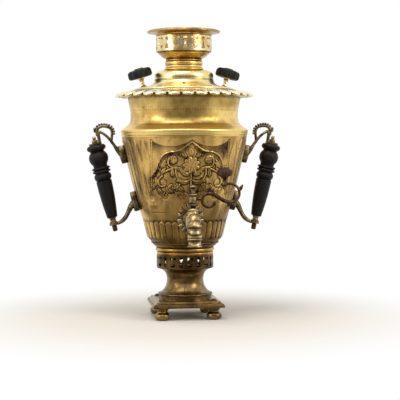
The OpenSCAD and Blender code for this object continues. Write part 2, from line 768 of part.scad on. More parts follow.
// Lower bracket: one arm swinging down from its foot to the eye
module lower_bracket(side) {
    f = lower_foot;
    e = lower_eye;
    arm = curve([f + [3, 1], f + [14, -9], e + [-21, 5], e + [-4.6, 0.4]], 12);
    curl = curve([f + [7, 1], f + [9, 4], f + [8, 8], f + [5.4, 11]], 5);
    color(dark_brass) {
        on_side(side) {
            bracket_foot(f, 29, 14, 5);
            swept_bar(arm, 4.4, 2.2, 1.1);
            swept_bar(curl, 2.2, 1.6, 1.3);
        }
        on_handle(side) translate([0, 0, -eye_t / 2]) difference() {
            cylinder(h = eye_t, r = 6.2);
            rod_hole();
        }
    }
}

// Turned grip: a tapered shaft, a bead, two rings, a ball and a rolled top, bored for the rod
module grip(side) {
    bead_r = 6.2;
    bead_s = 0.565 * grip_l;
    ring_s = 0.638 * grip_l;
    ball_s = 0.82 * grip_l;
    ball_half = 12.2;
    roll_r = 3.8;
    core = grip_top_r - 1.6;
    color(black_wood)
    on_handle(side) translate([0, 0, grip_s]) rotate_extrude() difference() {
        union() {
            polygon(concat(
                [[rod_r, 0], [grip_foot_r, 0]],
                curve_on([[grip_foot_r, 0], [grip_foot_r + 2.2, 0.16 * grip_l], [grip_top_r - 0.2, 0.3 * grip_l],
                    [grip_top_r, bead_s - bead_r + 1]], 7),
                [[core, bead_s - bead_r + 1], [core, grip_l], [rod_r, grip_l]]
            ));
            translate([grip_top_r - 5, bead_s]) circle(r = bead_r);
            for (i = [0, 1]) translate([grip_top_r, ring_s + 4.4 * i]) circle(r = 1.7);
            intersection() {
                translate([grip_ball_r - ball_half, ball_s]) circle(r = ball_half);
                translate([rod_r, 0]) square([40, grip_l]);
            }
            translate([grip_ball_r - 4, grip_l - roll_r]) circle(r = roll_r);
        }
        translate([-40, -5]) square([40 + rod_r + 0.3, grip_l + 10]);
    }
}

module tie_rod(side) {
    color(iron)
    on_handle(side) translate([0, 0, -eye_t / 2 - 7]) cylinder(h = nut_s + eye_t / 2 + 11, r = rod_r);
}

module ferrule(side) {
    color(brass)
    on_handle(side) translate([0, 0, eye_t / 2]) rotate_extrude() polygon(concat(
        [[rod_r + seat_gap, 0], [5.6, 0], [5.6, 1.2], [4.2, 2]],
        curve_on([[4.2, 2], [3.6, 4], [4.6, 5], [4.9, ferrule_h]], 5),
        [[rod_r + seat_gap, ferrule_h]]
    ));
}

module dome_nut(side) {
    color(brass)
    on_handle(side) translate([0, 0, nut_s]) difference() {
        union() {
            rotate_extrude() polygon([[0, 0], [4.2, 0], [4.2, 3.6], [3.6, 4.4], [0, 4.4]]);
            translate([0, 0, 6.6]) sphere(r = 2.7, $fn = 32);
        }
        translate([0, 0, -1]) cylinder(h = 5.2, r = rod_r + seat_gap);
    }
}

module bottom_nut(side) {
    nut_h = 8.6;
    color(dark_brass)
    on_handle(side) translate([0, 0, -eye_t / 2 - nut_h]) difference() {
        rotate_extrude() polygon([[0, 0], [2.6, 0], [3.3, 0.9], [3.3, nut_h], [0, nut_h]]);
        translate([0, 0, 1.4]) cylinder(h = nut_h, r = rod_r + seat_gap);
    }
}

// ---------------------------------------------------------------- tap

barrel_top = 14;
barrel_low = -13;
bend_r = 12;
spout_r = 8;
bore_slope = plug_taper / (barrel_top - barrel_low);
boss_reach = tap_reach - wall_r(shank_z) - 7;
seal_face = tap_reach - wall_r(shank_z) + sheet + 6;
tap_nut_t = 5;

// Frame of the tap: Z up the key's axis, +Y back along the shank
module on_tap() {
    on_axis() translate([0, -tap_reach, shank_z]) children();
}

// Bore or bar along the shank, from y0 back to y1
module along_shank(y0, y1, r) {
    translate([0, y1, 0]) rotate([90, 0, 0]) cylinder(h = y1 - y0, r = r);
}

// Run and bend of the spout: straight out and a quarter turn down
module spout_bend() {
    run = spout_reach - bend_r;
    along_shank(-run, 0, spout_r);
    translate([0, -run, -bend_r]) rotate([180, -90, 0])
        rotate_extrude(angle = 90) translate([bend_r, 0]) circle(r = spout_r);
}

// The cup and the lower wall as a solid, out from the surface by more
module wall_behind_tap(more) {
    rotate([0, 0, 90]) rotate_extrude() polygon(concat(
        [[0, seam_z], [cup_r - cup_h * tan(wall_lean) + more, seam_z]],
        [for (i = [0:4]) let (z = wall_z + wall_h * i / 8) [wall_r(z) + more, z]],
        [[0, wall_z + wall_h / 2]]
    ));
}

// Oval rosette with a scalloped edge, cut by round grooves between its petals
module tap_rosette() {
    petal_r = 0.2 * rosette_w * 9 / petals;
    spread = (rosette_h - rosette_w) / 2;
    disc_r = rosette_w / 2 - 0.75 * petal_r;
    thick = 4.5;
    color(brass)
    on_tap() difference() {
        union() {
            translate([0, tap_reach - wall_r(shank_z), 0]) rotate([90 + wall_lean, 0, 0])
                translate([0, 0, -3]) linear_extrude(height = thick + 3) {
                    for (y = [-spread, spread]) translate([0, y]) circle(r = disc_r);
                    square([2 * disc_r, 2 * spread], center = true);
                    for (i = [0:petals - 1])
                        let (a = (i + 0.5) * 360 / petals)
                        translate([(rosette_w / 2 - petal_r) * cos(a), (rosette_h / 2 - petal_r) * sin(a)])
                            circle(r = petal_r, $fn = 32);
                }
            along_shank(boss_reach, boss_reach + 9, 10.4);
        }
        translate([0, tap_reach, -shank_z]) wall_behind_tap(seat_gap);
        along_shank(0, tap_reach, shank_r + seat_gap);
        translate([0, tap_reach - wall_r(shank_z), 0]) rotate([90 + wall_lean, 0, 0])
            for (i = [0:petals - 1])
                let (a = atan2(rosette_h * sin(i * 360 / petals), rosette_w * cos(i * 360 / petals)))
                translate([0, 0, thick + 0.5]) rotate([0, 90, a])
                    translate([0, 0, 11.5]) cylinder(h = rosette_h, r = 1.4, $fn = 24);
    }
}

module tap_body() {
    bore_top = plug_r + key_gap;
    bore_low = plug_r - plug_taper + key_gap;
    color(brass)
    on_tap() difference() {
        union() {
            rotate_extrude() polygon([
                [0, barrel_low], [6.4, barrel_low], [6.6, barrel_low + 1.2], [barrel_r, barrel_low + 4],
                [barrel_r, 3.5], [6.2, 9.8], [7, 10.4], [7, 13.2], [6.4, barrel_top], [0, barrel_top]
            ]);
            along_shank(0, boss_reach, 5.6);
            along_shank(boss_reach - 2.4, boss_reach, 9.6);
            along_shank(boss_reach, seal_face + tap_nut_t + 2, shank_r);
            spout_bend();
            translate([0, -spout_reach, -spout_drop]) rotate_extrude() polygon(concat(
                [[0, 0], [spout_lip_r - 0.4, 0], [spout_lip_r, 0.5], [spout_lip_r, 1.3]],
                curve_on([[spout_lip_r, 1.3], [spout_lip_r - 1.4, 2], [8.2, 3.4], [8.2, 5.4]], 4),
                [[8.2, 8.6], [spout_r + 1.6, 9.4], [spout_r + 1.6, 10.6]],
                curve_on([[spout_r + 1.6, 10.6], [spout_r + 1, 14], [spout_r, 17],
                    [spout_r, spout_drop - bend_r]], 4),
                [[0, spout_drop - bend_r]]
            ));
        }
        translate([0, 0, barrel_low - 1]) cylinder(h = barrel_top - barrel_low + 2,
            r1 = bore_low - bore_slope, r2 = bore_top + bore_slope);
        along_shank(-spout_reach, tap_reach, water_r);
        translate([0, -spout_reach, -spout_drop / 2]) cylinder(h = spout_drop / 2, r = water_r + 0.4);
        translate([0, -spout_reach, -spout_drop - 1]) cylinder(h = spout_drop / 2, r = water_r + 2.6);
    }
}

// Packing shaped to the inside of the wall, flat where the nut bears
module tap_seal() {
    color(brown_wood)
    on_tap() intersection() {
        difference() {
            along_shank(boss_reach, seal_face, 10);
            along_shank(0, tap_reach, shank_r + seat_gap);
        }
        translate([0, tap_reach, -shank_z]) wall_cone(shank_z - 20, shank_z + 20, -sheet - seat_gap);
    }
}

module tap_nut() {
    color(brass)
    on_tap() difference() {
        translate([0, seal_face + tap_nut_t, 0]) rotate([90, 0, 0]) cylinder(h = tap_nut_t, r = 10, $fn = 6);
        along_shank(0, tap_reach, shank_r + seat_gap);
    }
}

// ---------------------------------------------------------------- key

washer_t = 1.2;
plug_low = barrel_low - 0.4;
branch_z = barrel_top + 12.3;
stem_r = 5.3;
key_screw_r = 1.5;
branch_top = barrel_top + 30.5;

module key_plug() {
    color(brass)
    on_tap() difference() {
        rotate_extrude() polygon(concat(
            [[0, plug_low], [plug_r - plug_taper - 0.4 * bore_slope, plug_low], [plug_r, barrel_top]],
            [[3.6, barrel_top + 0.4], [3.6, barrel_top + 2.8], [4.9, barrel_top + 3.2]],
            [[4.9, barrel_top + 5.6], [4.5, barrel_top + 6.2], [stem_r, barrel_top + 7]],
            [[stem_r, barrel_top + 15.4], [4.8, barrel_top + 16], [6.5, barrel_top + 17]],
            curve_on([[6.5, barrel_top + 17], [6.5, barrel_top + 20], [2.2, barrel_top + 19],
                [2.2, barrel_top + 22]], 5),
            [[2.2, barrel_top + key_h - 4]],
            curve_on([[2.2, barrel_top + key_h - 4], [5.6, barrel_top + key_h - 4],
                [5.2, barrel_top + key_h], [0, barrel_top + key_h]], 6)
        ));
        rotate([0, 90, 0]) cylinder(h = 4 * plug_r, r = water_r, center = true);
        translate([0, 0, plug_low - 1]) cylinder(h = 8, r = key_screw_r + seat_gap);
    }
}

// A flat leaf from the point base to the point tip, in the XZ plane
module leaf(base, tip, w, t) {
    d = tip - base;
    translate([base[0], 0, base[1]]) rotate([0, 90 - atan2(d[1], d[0]), 0])
        translate([0, 0, norm(d) / 2]) rotate([90, 0, 0]) linear_extrude(height = t, center = true)
            leaf_outline(norm(d), w);
}

// Scrolled branch: a C-scroll on the stem, an S-bend out and a loop back under the knob
module key_branch() {
    scroll_r = 9;
    loop_r = 12.2;
    scroll_at = [0.5 * key_reach, branch_z - 2];
    loop_at = [key_reach + 7.5, scroll_at[1] + 9.5];
    scroll = arc(scroll_at, scroll_r, 90, 325, 14);
    top = scroll_at + [0, scroll_r];
    low = loop_at - [0, loop_r];
    limb = concat(
        curve([top, top + [11, 0], low - [12, 0], low], 10),
        [for (i = [1:12]) loop_at + loop_r * [cos(-90 + 17.5 * i), sin(-90 + 17.5 * i)]]
    );
    color(dark_brass)
    on_tap() {
        swept_bar([[stem_r + 0.05, branch_z], [stem_r + 3, branch_z], scroll_at - [scroll_r - 1, -2]], 2.3, 2.3);
        swept_bar(scroll, 2.4, 1.7, 1.3);
        translate([scroll[14][0], 0, scroll[14][1]]) sphere(r = 2.4, $fn = 32);
        swept_bar(limb, 2.4, 2, 1.3);
        leaf(top + [0.5, -1], top + [-1, 14], 6.5, 2.6);
        leaf(top + [1, 0], top + [7, 6.5], 4.5, 2.2);
        leaf(loop_at + [10.5, 3], loop_at + [17, 11.5], 4.5, 2.4);
        leaf(low + [0.5, 0.5], low - [4, 6.5], 4, 2.4);
        translate([key_reach, 0, 0]) rotate_extrude() polygon(concat(
            [[0, branch_top - 2.4], [2.6, branch_top - 1.4]],
            curve_on([[2.6, branch_top - 1.4], [4.2, branch_top + 1], [2, branch_top + 4],
                [2.6, branch_top + 7]], 5),
            [[5.2, branch_top + 9.6], [5.2, branch_top + 11.2], [1.6, branch_top + 11.2]],
            [[1.6, branch_top + 11.2 + key_knob_t - 1], [0, branch_top + 11.2 + key_knob_t - 1]]
        ));
    }
}

module key_knob() {
    color(brown_wood)
    on_tap() translate([key_reach, 0, branch_top + 11.2]) fluted_knob(key_knob_r, key_knob_t, 1.6 + seat_gap, 8);
}

module key_knob_screw() {
    color(brass)
    on_tap() translate([key_reach, 0, branch_top + 11.2 + key_knob_t]) rotate_extrude()
        polygon(concat([[0, 0]], curve([[3.6, 0], [3.6, 1.6], [2, 2.6], [0, 2.6]], 5)));
}

module key_washer() {
    color(brass)
    on_tap() translate([0, 0, plug_low - washer_t]) difference() {
        cylinder(h = washer_t, r = 5.6);
        translate([0, 0, -1]) cylinder(h = washer_t + 2, r = key_screw_r + seat_gap);
    }
}

module key_screw() {
    head_h = 2.2;
    color(brass)
    on_tap() translate([0, 0, plug_low - washer_t]) {
        translate([0, 0, -head_h]) difference() {
            cylinder(h = head_h, r = 3.6);
            translate([-0.5, -5, -1]) cube([1, 10, 1.8]);
        }
        cylinder(h = washer_t + 6, r = key_screw_r);
    }
}

foot(left, -1);  // foot_front_left
foot(right, -1);  // foot_front_right
foot(left, 1);  // foot_back_left
foot(right, 1);  // foot_back_right
foot_screws();
base_plate();
pedestal();
air_gallery();
foot_ring();
gadrooned_cup();
body_shell();
scalloped_rim();
fire_tube();
body_floor();
grate();
flue_collar();
upper_bracket(left);  // upper_bracket_left
lower_bracket(left);  // lower_bracket_left
grip(left);  // grip_left
tie_rod(left);  // tie_rod_left
ferrule(left);  // ferrule_left
dome_nut(left);  // dome_nut_left
bottom_nut(left);  // bottom_nut_left
upper_bracket(right);  // upper_bracket_right
lower_bracket(right);  // lower_bracket_right
grip(right);  // grip_right
tie_rod(right);  // tie_rod_right
ferrule(right);  // ferrule_right
dome_nut(right);  // dome_nut_right
bottom_nut(right);  // bottom_nut_right
tap_rosette();
tap_body();
tap_seal();
tap_nut();
key_plug();
key_branch();
key_knob();
key_knob_screw();
key_washer();
key_screw();
lid_shell();
lid_skirt();
lid_stem(left);  // lid_stem_left
lid_knob(left);  // lid_knob_left
lid_stem(right);  // lid_stem_right
lid_knob(right);  // lid_knob_right
stand_bowl();
stand_gallery();
stand_brim();
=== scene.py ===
# %% [markdown]
# # A brass samovar, dressed piece by piece
# A samovar boils water round a charcoal tube and serves it from a tap. The solid model under this
# script already has every piece at its real size and place, so nothing here is fitted by eye.
# The script adds what a turner, a chaser and thirty years of use leave on brass: rolled edges,
# chased flowers, gadroons with dark hollows, worn polish on the wood.

# %% Load the solid model
import math

import bmesh
import bpy
from mathutils import Matrix, Vector, kdtree, noise


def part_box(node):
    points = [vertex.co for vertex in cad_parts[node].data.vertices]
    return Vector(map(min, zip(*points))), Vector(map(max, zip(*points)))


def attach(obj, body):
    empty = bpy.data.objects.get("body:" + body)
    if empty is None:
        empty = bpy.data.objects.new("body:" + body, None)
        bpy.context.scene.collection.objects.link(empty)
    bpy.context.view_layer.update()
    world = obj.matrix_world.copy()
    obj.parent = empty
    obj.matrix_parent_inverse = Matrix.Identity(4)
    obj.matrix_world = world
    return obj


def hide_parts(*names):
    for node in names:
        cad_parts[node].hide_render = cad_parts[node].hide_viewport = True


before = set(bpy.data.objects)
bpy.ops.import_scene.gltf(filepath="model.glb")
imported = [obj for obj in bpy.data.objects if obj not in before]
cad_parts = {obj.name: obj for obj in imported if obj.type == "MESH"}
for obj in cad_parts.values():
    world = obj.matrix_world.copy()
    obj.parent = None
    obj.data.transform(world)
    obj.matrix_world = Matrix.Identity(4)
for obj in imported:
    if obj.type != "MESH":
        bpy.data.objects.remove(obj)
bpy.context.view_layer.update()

# %% [markdown]
# Makers' drawings are in millimetres, and Blender's unit here is the metre, so one factor turns one
# into the other. The whole urn is turned round one upright axis. It is read from the wall's own box,
# so each turned piece below lands on its solid.

# %% The urn's axis and units
MM = 0.001
low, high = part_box("body_shell")
AXIS_Y = (low.y + high.y) / 2 / MM
ON_AXIS = Matrix.Translation((0, AXIS_Y, 0))
print("the axis stands", round(AXIS_Y, 2), "mm behind the middle of the footprint")

# %% [markdown]
# ## The studio
# A long lens from 1.7 m keeps the urn's sides nearly parallel, as in a catalogue picture. The eye is
# level with the shoulder of the body, so the rim is seen from just below and the base from above.

# %% Camera
scene = bpy.context.scene
HEADING = math.radians(6.8)
EYE_AWAY, EYE_HEIGHT = 1.7, 0.2366
PAN, TILT, ROLL = 0.72, 2.49, -0.3
EYE_AT = Vector((-EYE_AWAY * math.sin(HEADING), AXIS_Y * MM - EYE_AWAY * math.cos(HEADING), EYE_HEIGHT))

lens = bpy.data.cameras.new("studio_camera")
lens.lens = 109.8
lens.sensor_width = 36
camera = bpy.data.objects.new("studio_camera", lens)
scene.collection.objects.link(camera)
camera.matrix_world = (Matrix.Translation(EYE_AT)
                       @ Matrix.Rotation(-HEADING - math.radians(PAN), 4, "Z")
                       @ Matrix.Rotation(math.radians(90 - TILT), 4, "X")
                       @ Matrix.Rotation(math.radians(ROLL), 4, "Z"))
scene.camera = camera
scene.view_settings.view_transform = "Standard"
print("camera at", [round(c, 3) for c in EYE_AT])

# %% [markdown]
# Two small tools serve every material. One turns the hex colour of a colour card into the linear
# values that a renderer mixes. The other adds a shader node, sets it and wires it in one line.

# %% Colours and shader nodes


def linear(code, alpha=1.0):
    """Turn an sRGB hex colour into linear values."""
    parts = [int(code[i:i + 2], 16) / 255 for i in (1, 3, 5)]
    return [p / 12.92 if p <= 0.04045 else ((p + 0.055) / 1.055) ** 2.4 for p in parts] + [alpha]


def node(tree, kind, inputs=None, **settings):
    """Add a shader node: settings are its options, inputs are values to set or sockets to link."""
    made = tree.nodes.new("ShaderNode" + kind)
    for name, value in settings.items():
        setattr(made, name, value)
    for socket, value in (inputs or {}).items():
        if isinstance(value, bpy.types.NodeSocket):
            tree.links.new(value, made.inputs[socket])
        else:
            made.inputs[socket].default_value = value
    return made


print("brass yellow in linear light:", [round(c, 3) for c in linear("#C9A24C")[:3]])

# %% [markdown]
# Metal shows nothing but what surrounds it. The air of the studio is white to the camera and to
# reflections, and a gentler grey to everything else, so that pale brass keeps its colour. Soft lamps
# give the highlights. Three brown cards that only reflections see are bent round the front, as
# photographers of silver do: one lies round the foot, one further out, and one starts beyond it and
# rises behind the camera. The neck and the lower cup mirror them and turn deep. The lid mirrors the
# white above, and the upper wall, which leans out, the white strips between.

# %% White air
world = bpy.data.worlds.new("studio_air")
scene.world = world
world.use_nodes = True
air = world.node_tree
air.nodes.clear()
ray = node(air, "LightPath")
seen = node(air, "Math", {0: ray.outputs["Is Camera Ray"], 1: ray.outputs["Is Glossy Ray"]},
            operation="ADD")
seen = node(air, "Math", {0: seen.outputs[0], 1: ray.outputs["Is Transmission Ray"]},
            operation="ADD", use_clamp=True)
soft_light = node(air, "Background", {"Color": linear("#F6F3EE"), "Strength": 0.5})
backdrop = node(air, "Background", {"Color": linear("#FFFFFF"), "Strength": 1.0})
mixed = node(air, "MixShader", {0: seen.outputs[0], 1: soft_light.outputs[0], 2: backdrop.outputs[0]})
node(air, "OutputWorld", {"Surface": mixed.outputs[0]})
print("air nodes:", len(air.nodes))

# %% Lamps


def softbox(name, place, size, watts, aim=(0, 0, 0.2)):
    """Hang a square lamp at a place, turned to the object."""
    lamp = bpy.data.lights.new(name, "AREA")
    lamp.size = size
    lamp.energy = watts
    lamp.color = linear("#FFF8EE")[:3]
    made = bpy.data.objects.new(name, lamp)
    scene.collection.objects.link(made)
    turn = (Vector(aim) - Vector(place)).to_track_quat("-Z", "Y")
    made.matrix_world = Matrix.Translation(place) @ turn.to_matrix().to_4x4()
    return made


softbox("top_lamp", (-0.3, -0.5, 1.7), 1.1, 14)
softbox("right_lamp", (1.4, -1.1, 0.9), 0.7, 9)
softbox("left_lamp", (-1.5, -0.7, 0.7), 0.6, 5)

# %% Floor and brown cards
FADE_FROM, FADE_TO = 0.13, 0.4
CARDS = (("low_card", ((0.08, 0.004), (0.38, 0.004)), -105, 200),
         ("middle_card", ((0.64, 0.004), (1.3, 0.004)), -30, 80),
         ("back_card", ((1.3, 0.004), (2.3, 0.004), (2.4, 0.1), (2.4, 0.8)), -62, 112))

floor_finish = bpy.data.materials.new("matt_white_paper")
floor_finish.use_nodes = True
tree = floor_finish.node_tree
tree.nodes.clear()
spot = node(tree, "TexCoord")
far = node(tree, "VectorMath", {0: spot.outputs["Object"]}, operation="LENGTH")
fade = node(tree, "MapRange", {"Value": far.outputs["Value"], "From Min": FADE_FROM, "From Max": FADE_TO},
            interpolation_type="SMOOTHSTEP")
paper = node(tree, "BsdfDiffuse", {"Color": linear("#F4F2EE")})
glow = node(tree, "Emission", {"Color": linear("#FFFFFF"), "Strength": 1.0})
ray = node(tree, "LightPath")
shown = node(tree, "Math", {0: ray.outputs["Is Camera Ray"], 1: ray.outputs["Is Glossy Ray"]},
             operation="ADD")
shown = node(tree, "Math", {0: shown.outputs[0], 1: ray.outputs["Is Transmission Ray"]},
             operation="ADD", use_clamp=True)
white = node(tree, "Math", {0: shown.outputs[0], 1: fade.outputs["Result"]}, operation="MULTIPLY")
blend = node(tree, "MixShader", {0: white.outputs[0], 1: paper.outputs[0], 2: glow.outputs[0]})
node(tree, "OutputMaterial", {"Surface": blend.outputs[0]})

card_finish = bpy.data.materials.new("dull_brown_card")
card_finish.use_nodes = True
card_finish.node_tree.nodes["Principled BSDF"].inputs["Base Color"].default_value = linear("#6A6052")
card_finish.node_tree.nodes["Principled BSDF"].inputs["Roughness"].default_value = 0.9


def staged(name, bm, finish):
    """Put a sheet of the studio in the scene."""
    mesh = bpy.data.meshes.new(name)
    bm.to_mesh(mesh)
    bm.free()
    mesh.materials.append(finish)
    made = bpy.data.objects.new(name, mesh)
    scene.collection.objects.link(made)
    return made


bm = bmesh.new()
bmesh.ops.create_grid(bm, x_segments=1, y_segments=1, size=4)
staged("paper_floor", bm, floor_finish)

for name, run, start, sweep in CARDS:
    bm = bmesh.new()
    rule = [bm.verts.new((0, -r, z)) for r, z in run]
    rule += [bm.edges.new(pair) for pair in zip(rule, rule[1:])]
    bmesh.ops.rotate(bm, verts=bm.verts, matrix=Matrix.Rotation(math.radians(start), 3, "Z"))
    bmesh.ops.spin(bm, geom=rule, cent=(0, 0, 0), axis=(0, 0, 1), angle=math.radians(sweep), steps=36)
    card = staged(name, bm, card_finish)
    card.visible_camera = False
    card.visible_diffuse = False
    card.visible_shadow = False
print("the floor fades to white", FADE_TO, "m out")

# %% [markdown]
# ## Tools for turned work
# Nearly everything on a samovar is turned on a lathe or spun over a form: one outline, swept round
# one axis. So the main tool takes an outline in the XZ plane and spins it. The outlines are made of
# the same arcs and free curves that a turner's template has.

# %% Curves of a template


def bez(a, b, c, d, n):
    """Points along a free curve from a to d that leaves towards b and arrives from c."""
    out = []
    for i in range(n + 1):
        t = i / n
        w = ((1 - t) ** 3, 3 * t * (1 - t) ** 2, 3 * t * t * (1 - t), t ** 3)
        out.append(tuple(sum(k * p[j] for k, p in zip(w, (a, b, c, d))) for j in (0, 1)))
    return out


def arc(x, z, r, start, stop, n):
    """Points along an arc about (x, z), in degrees."""
    steps = [math.radians(start + (stop - start) * i / n) for i in range(n + 1)]
    return [(x + r * math.cos(a), z + r * math.sin(a)) for a in steps]


print("a quarter of a bead:", [(round(x, 2), round(z, 2)) for x, z in arc(10, 0, 2, 0, 90, 2)])

# %% The lathe


def turn(bm, outline, steps=96, at=None):
    """Spin a closed outline round Z. Returns the new vertices."""
    old = set(bm.verts)
    run = [p for i, p in enumerate(outline) if math.dist(p, outline[i - 1]) > 0.004]
    verts = [bm.verts.new((x, 0, z)) for x, z in run]
    edges = [bm.edges.new((v, verts[i - 1])) for i, v in enumerate(verts)]
    axle = [e for e in edges if max(abs(v.co.x) for v in e.verts) < 1e-6]
    for edge in axle:
        bm.edges.remove(edge)
        edges.remove(edge)
    bmesh.ops.spin(bm, geom=verts + edges, cent=(0, 0, 0), axis=(0, 0, 1), angle=math.tau, steps=steps,
                   use_merge=True, use_duplicate=False)
    made = [v for v in bm.verts if v not in old]
    poles = [v for v in made if math.hypot(v.co.x, v.co.y) < 1e-5]
    bmesh.ops.remove_doubles(bm, verts=poles, dist=1e-4)
    made = [v for v in bm.verts if v not in old]
    if at is not None:
        bmesh.ops.transform(bm, matrix=at, verts=made)
    return made


trial = bmesh.new()
turn(trial, [(0, 0), (5, 0), (5, 2), (0, 3)], 12)
print("a turned button has", len(trial.verts), "points and", len(trial.faces), "faces")
trial.free()

# %% [markdown]
# Cast brackets and branches are bent bars, thicker in the middle and pinched at the ends. A ring is
# extruded from station to station along the bar's path, which gives an even skin with round ends.

# %% The bar


def bar(bm, path, thick, wide=1.0, sides=16):
    """Extrude a ring along a path in the XZ plane. thick(t) is its radius, wide its width along Y."""
    last = len(path) - 1
    ahead = [Vector(path[min(i + 1, last)]) - Vector(path[max(i - 1, 0)]) for i in range(last + 1)]
    stops = []
    for i, (x, z) in enumerate(path):
        stops.append((x, z, thick(i / last), math.atan2(ahead[i].x, ahead[i].y)))
    for end, sign in ((0, -1), (-1, 1)):
        x, z, r, lean = stops[end]
        cap = [(x + sign * r * math.sin(k) * math.sin(lean), z + sign * r * math.sin(k) * math.cos(lean),
                r * math.cos(k), lean) for k in (0.5, 1.0, 1.35)]
        stops = list(reversed(cap)) + stops if sign < 0 else stops + cap
    poses = [Matrix.Translation((x, 0, z)) @ Matrix.Rotation(lean, 4, "Y")
             @ Matrix.Diagonal((r, r * wide, 1, 1)) for x, z, r, lean in stops]
    ring = bmesh.ops.create_circle(bm, cap_ends=True, radius=1, segments=sides, matrix=poses[0])["verts"]
    edges = list({e for v in ring for e in v.link_edges})
    made = list(ring)
    for before, after in zip(poses, poses[1:]):
        geom = bmesh.ops.extrude_edge_only(bm, edges=edges)["geom"]
        verts = [g for g in geom if isinstance(g, bmesh.types.BMVert)]
        edges = [g for g in geom if isinstance(g, bmesh.types.BMEdge) and all(v in verts for v in g.verts)]
        bmesh.ops.transform(bm, matrix=after @ before.inverted(), verts=verts)
        made += verts
    bmesh.ops.edgeloop_fill(bm, edges=edges)
    return made


trial = bmesh.new()
bar(trial, [(0, 0), (5, 5), (10, 5)], lambda t: 2 - t)
print("a short bar has", len(trial.faces), "faces")
trial.free()

# %% [markdown]
# Every finished piece goes through one door. Doubled points are merged, the piece is set in its place
# in metres, its faces are turned outwards, its edges are kept sharp only where they turn hard, and it
# is told which body carries it and which solid it stands for. Two numbers are stored on its points:
# how far along the lathe each one lies, for the fine tool lines, and how dark it is: dirt in
# hollows, painted shade under overhangs and where parts meet, and a painted dark reflection on the
# neck. A value below nought makes the metal bright, on ridges that hands and cloths keep bright and
# in a few painted highlights.

# %% Finishing a piece


def piece(name, bm, finish, body, stands_for=(), place=ON_AXIS, crease=38,
          hollow=None):
    """Make a piece of a bmesh in millimetres."""
    bmesh.ops.remove_doubles(bm, verts=bm.verts, dist=0.003)
    bmesh.ops.dissolve_degenerate(bm, dist=0.002, edges=bm.edges)
    run = bm.verts.layers.float.new("tool_run")
    dirt_and_shade = bm.verts.layers.float.new("hollow")
    for v in bm.verts:
        v[run] = v.co.z + math.hypot(v.co.x, v.co.y)
        v[dirt_and_shade] = hollow(v.co) if hollow else 0
    bmesh.ops.transform(bm, matrix=Matrix.Scale(MM, 4) @ place, verts=bm.verts)
    bmesh.ops.recalc_face_normals(bm, faces=bm.faces)
    mesh = bpy.data.meshes.new(name)
    bm.to_mesh(mesh)
    bm.free()
    mesh.shade_smooth()
    mesh.set_sharp_from_angle(angle=math.radians(crease))
    mesh.materials.append(finish)
    made = bpy.data.objects.new(name, mesh)
    scene.collection.objects.link(made)
    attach(made, body)
    if stands_for:
        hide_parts(*([stands_for] if isinstance(stands_for, str) else stands_for))
    print(name, "has", len(mesh.polygons), "faces")
    return made


# %% [markdown]
# Dirt and tool marks lie in bands: thick in the middle of a groove, and thinning to nothing at its
# sides. One function gives that, and another keeps a share between nothing and all. Most pieces are
# a single turned outline, so a third makes it into a mesh of its own, raised to its height.

# %% Bands, shares and blanks
SIDES = (("left", -1), ("right", 1))


def band(value, middle, reach):
    """1 in the middle of a band, falling to 0 at its reach to either side."""
    return max(0, 1 - abs(value - middle) / reach)


def clamp(share):
    """Keep a share between 0 and 1."""
    return min(1, max(0, share))


def turned(outline, steps, up=0):
    """Turn an outline, raised by so much, into a mesh of its own."""
    bm = bmesh.new()
    turn(bm, [(x, z + up) for x, z in outline], steps)
    return bm


print("half way out, a band of dirt is", band(0.5, 0, 1), "thick")

# %% [markdown]
# ## Finishes
# Spun sheet brass is cartridge brass, copper with a third of zinc. Buffed, it is a pale warm yellow.
# Handling keeps it bright on edges, while flat fields cloud over, brown spots creep in and hollows
# keep black polish. The same black also paints shade under overhangs and where parts meet, and a
# dark reflection on the neck, and the bright tone paints a few highlights. So one recipe mixes three
# colours, from rubbed to tarnished, by noises whose sizes are those of the real marks: clouds of
# 16 mm, blots of 6 mm, pin spots of 1.3 mm. Real tool lines are finer than the picture can show, so
# they are drawn 1.1 mm apart.

# %% Brass
# The black that hollows keep; the same colour paints shade under overhangs and where parts meet, and a dark
# reflection on the neck.
DARK_POLISH_AND_SHADE = "#2B2117"


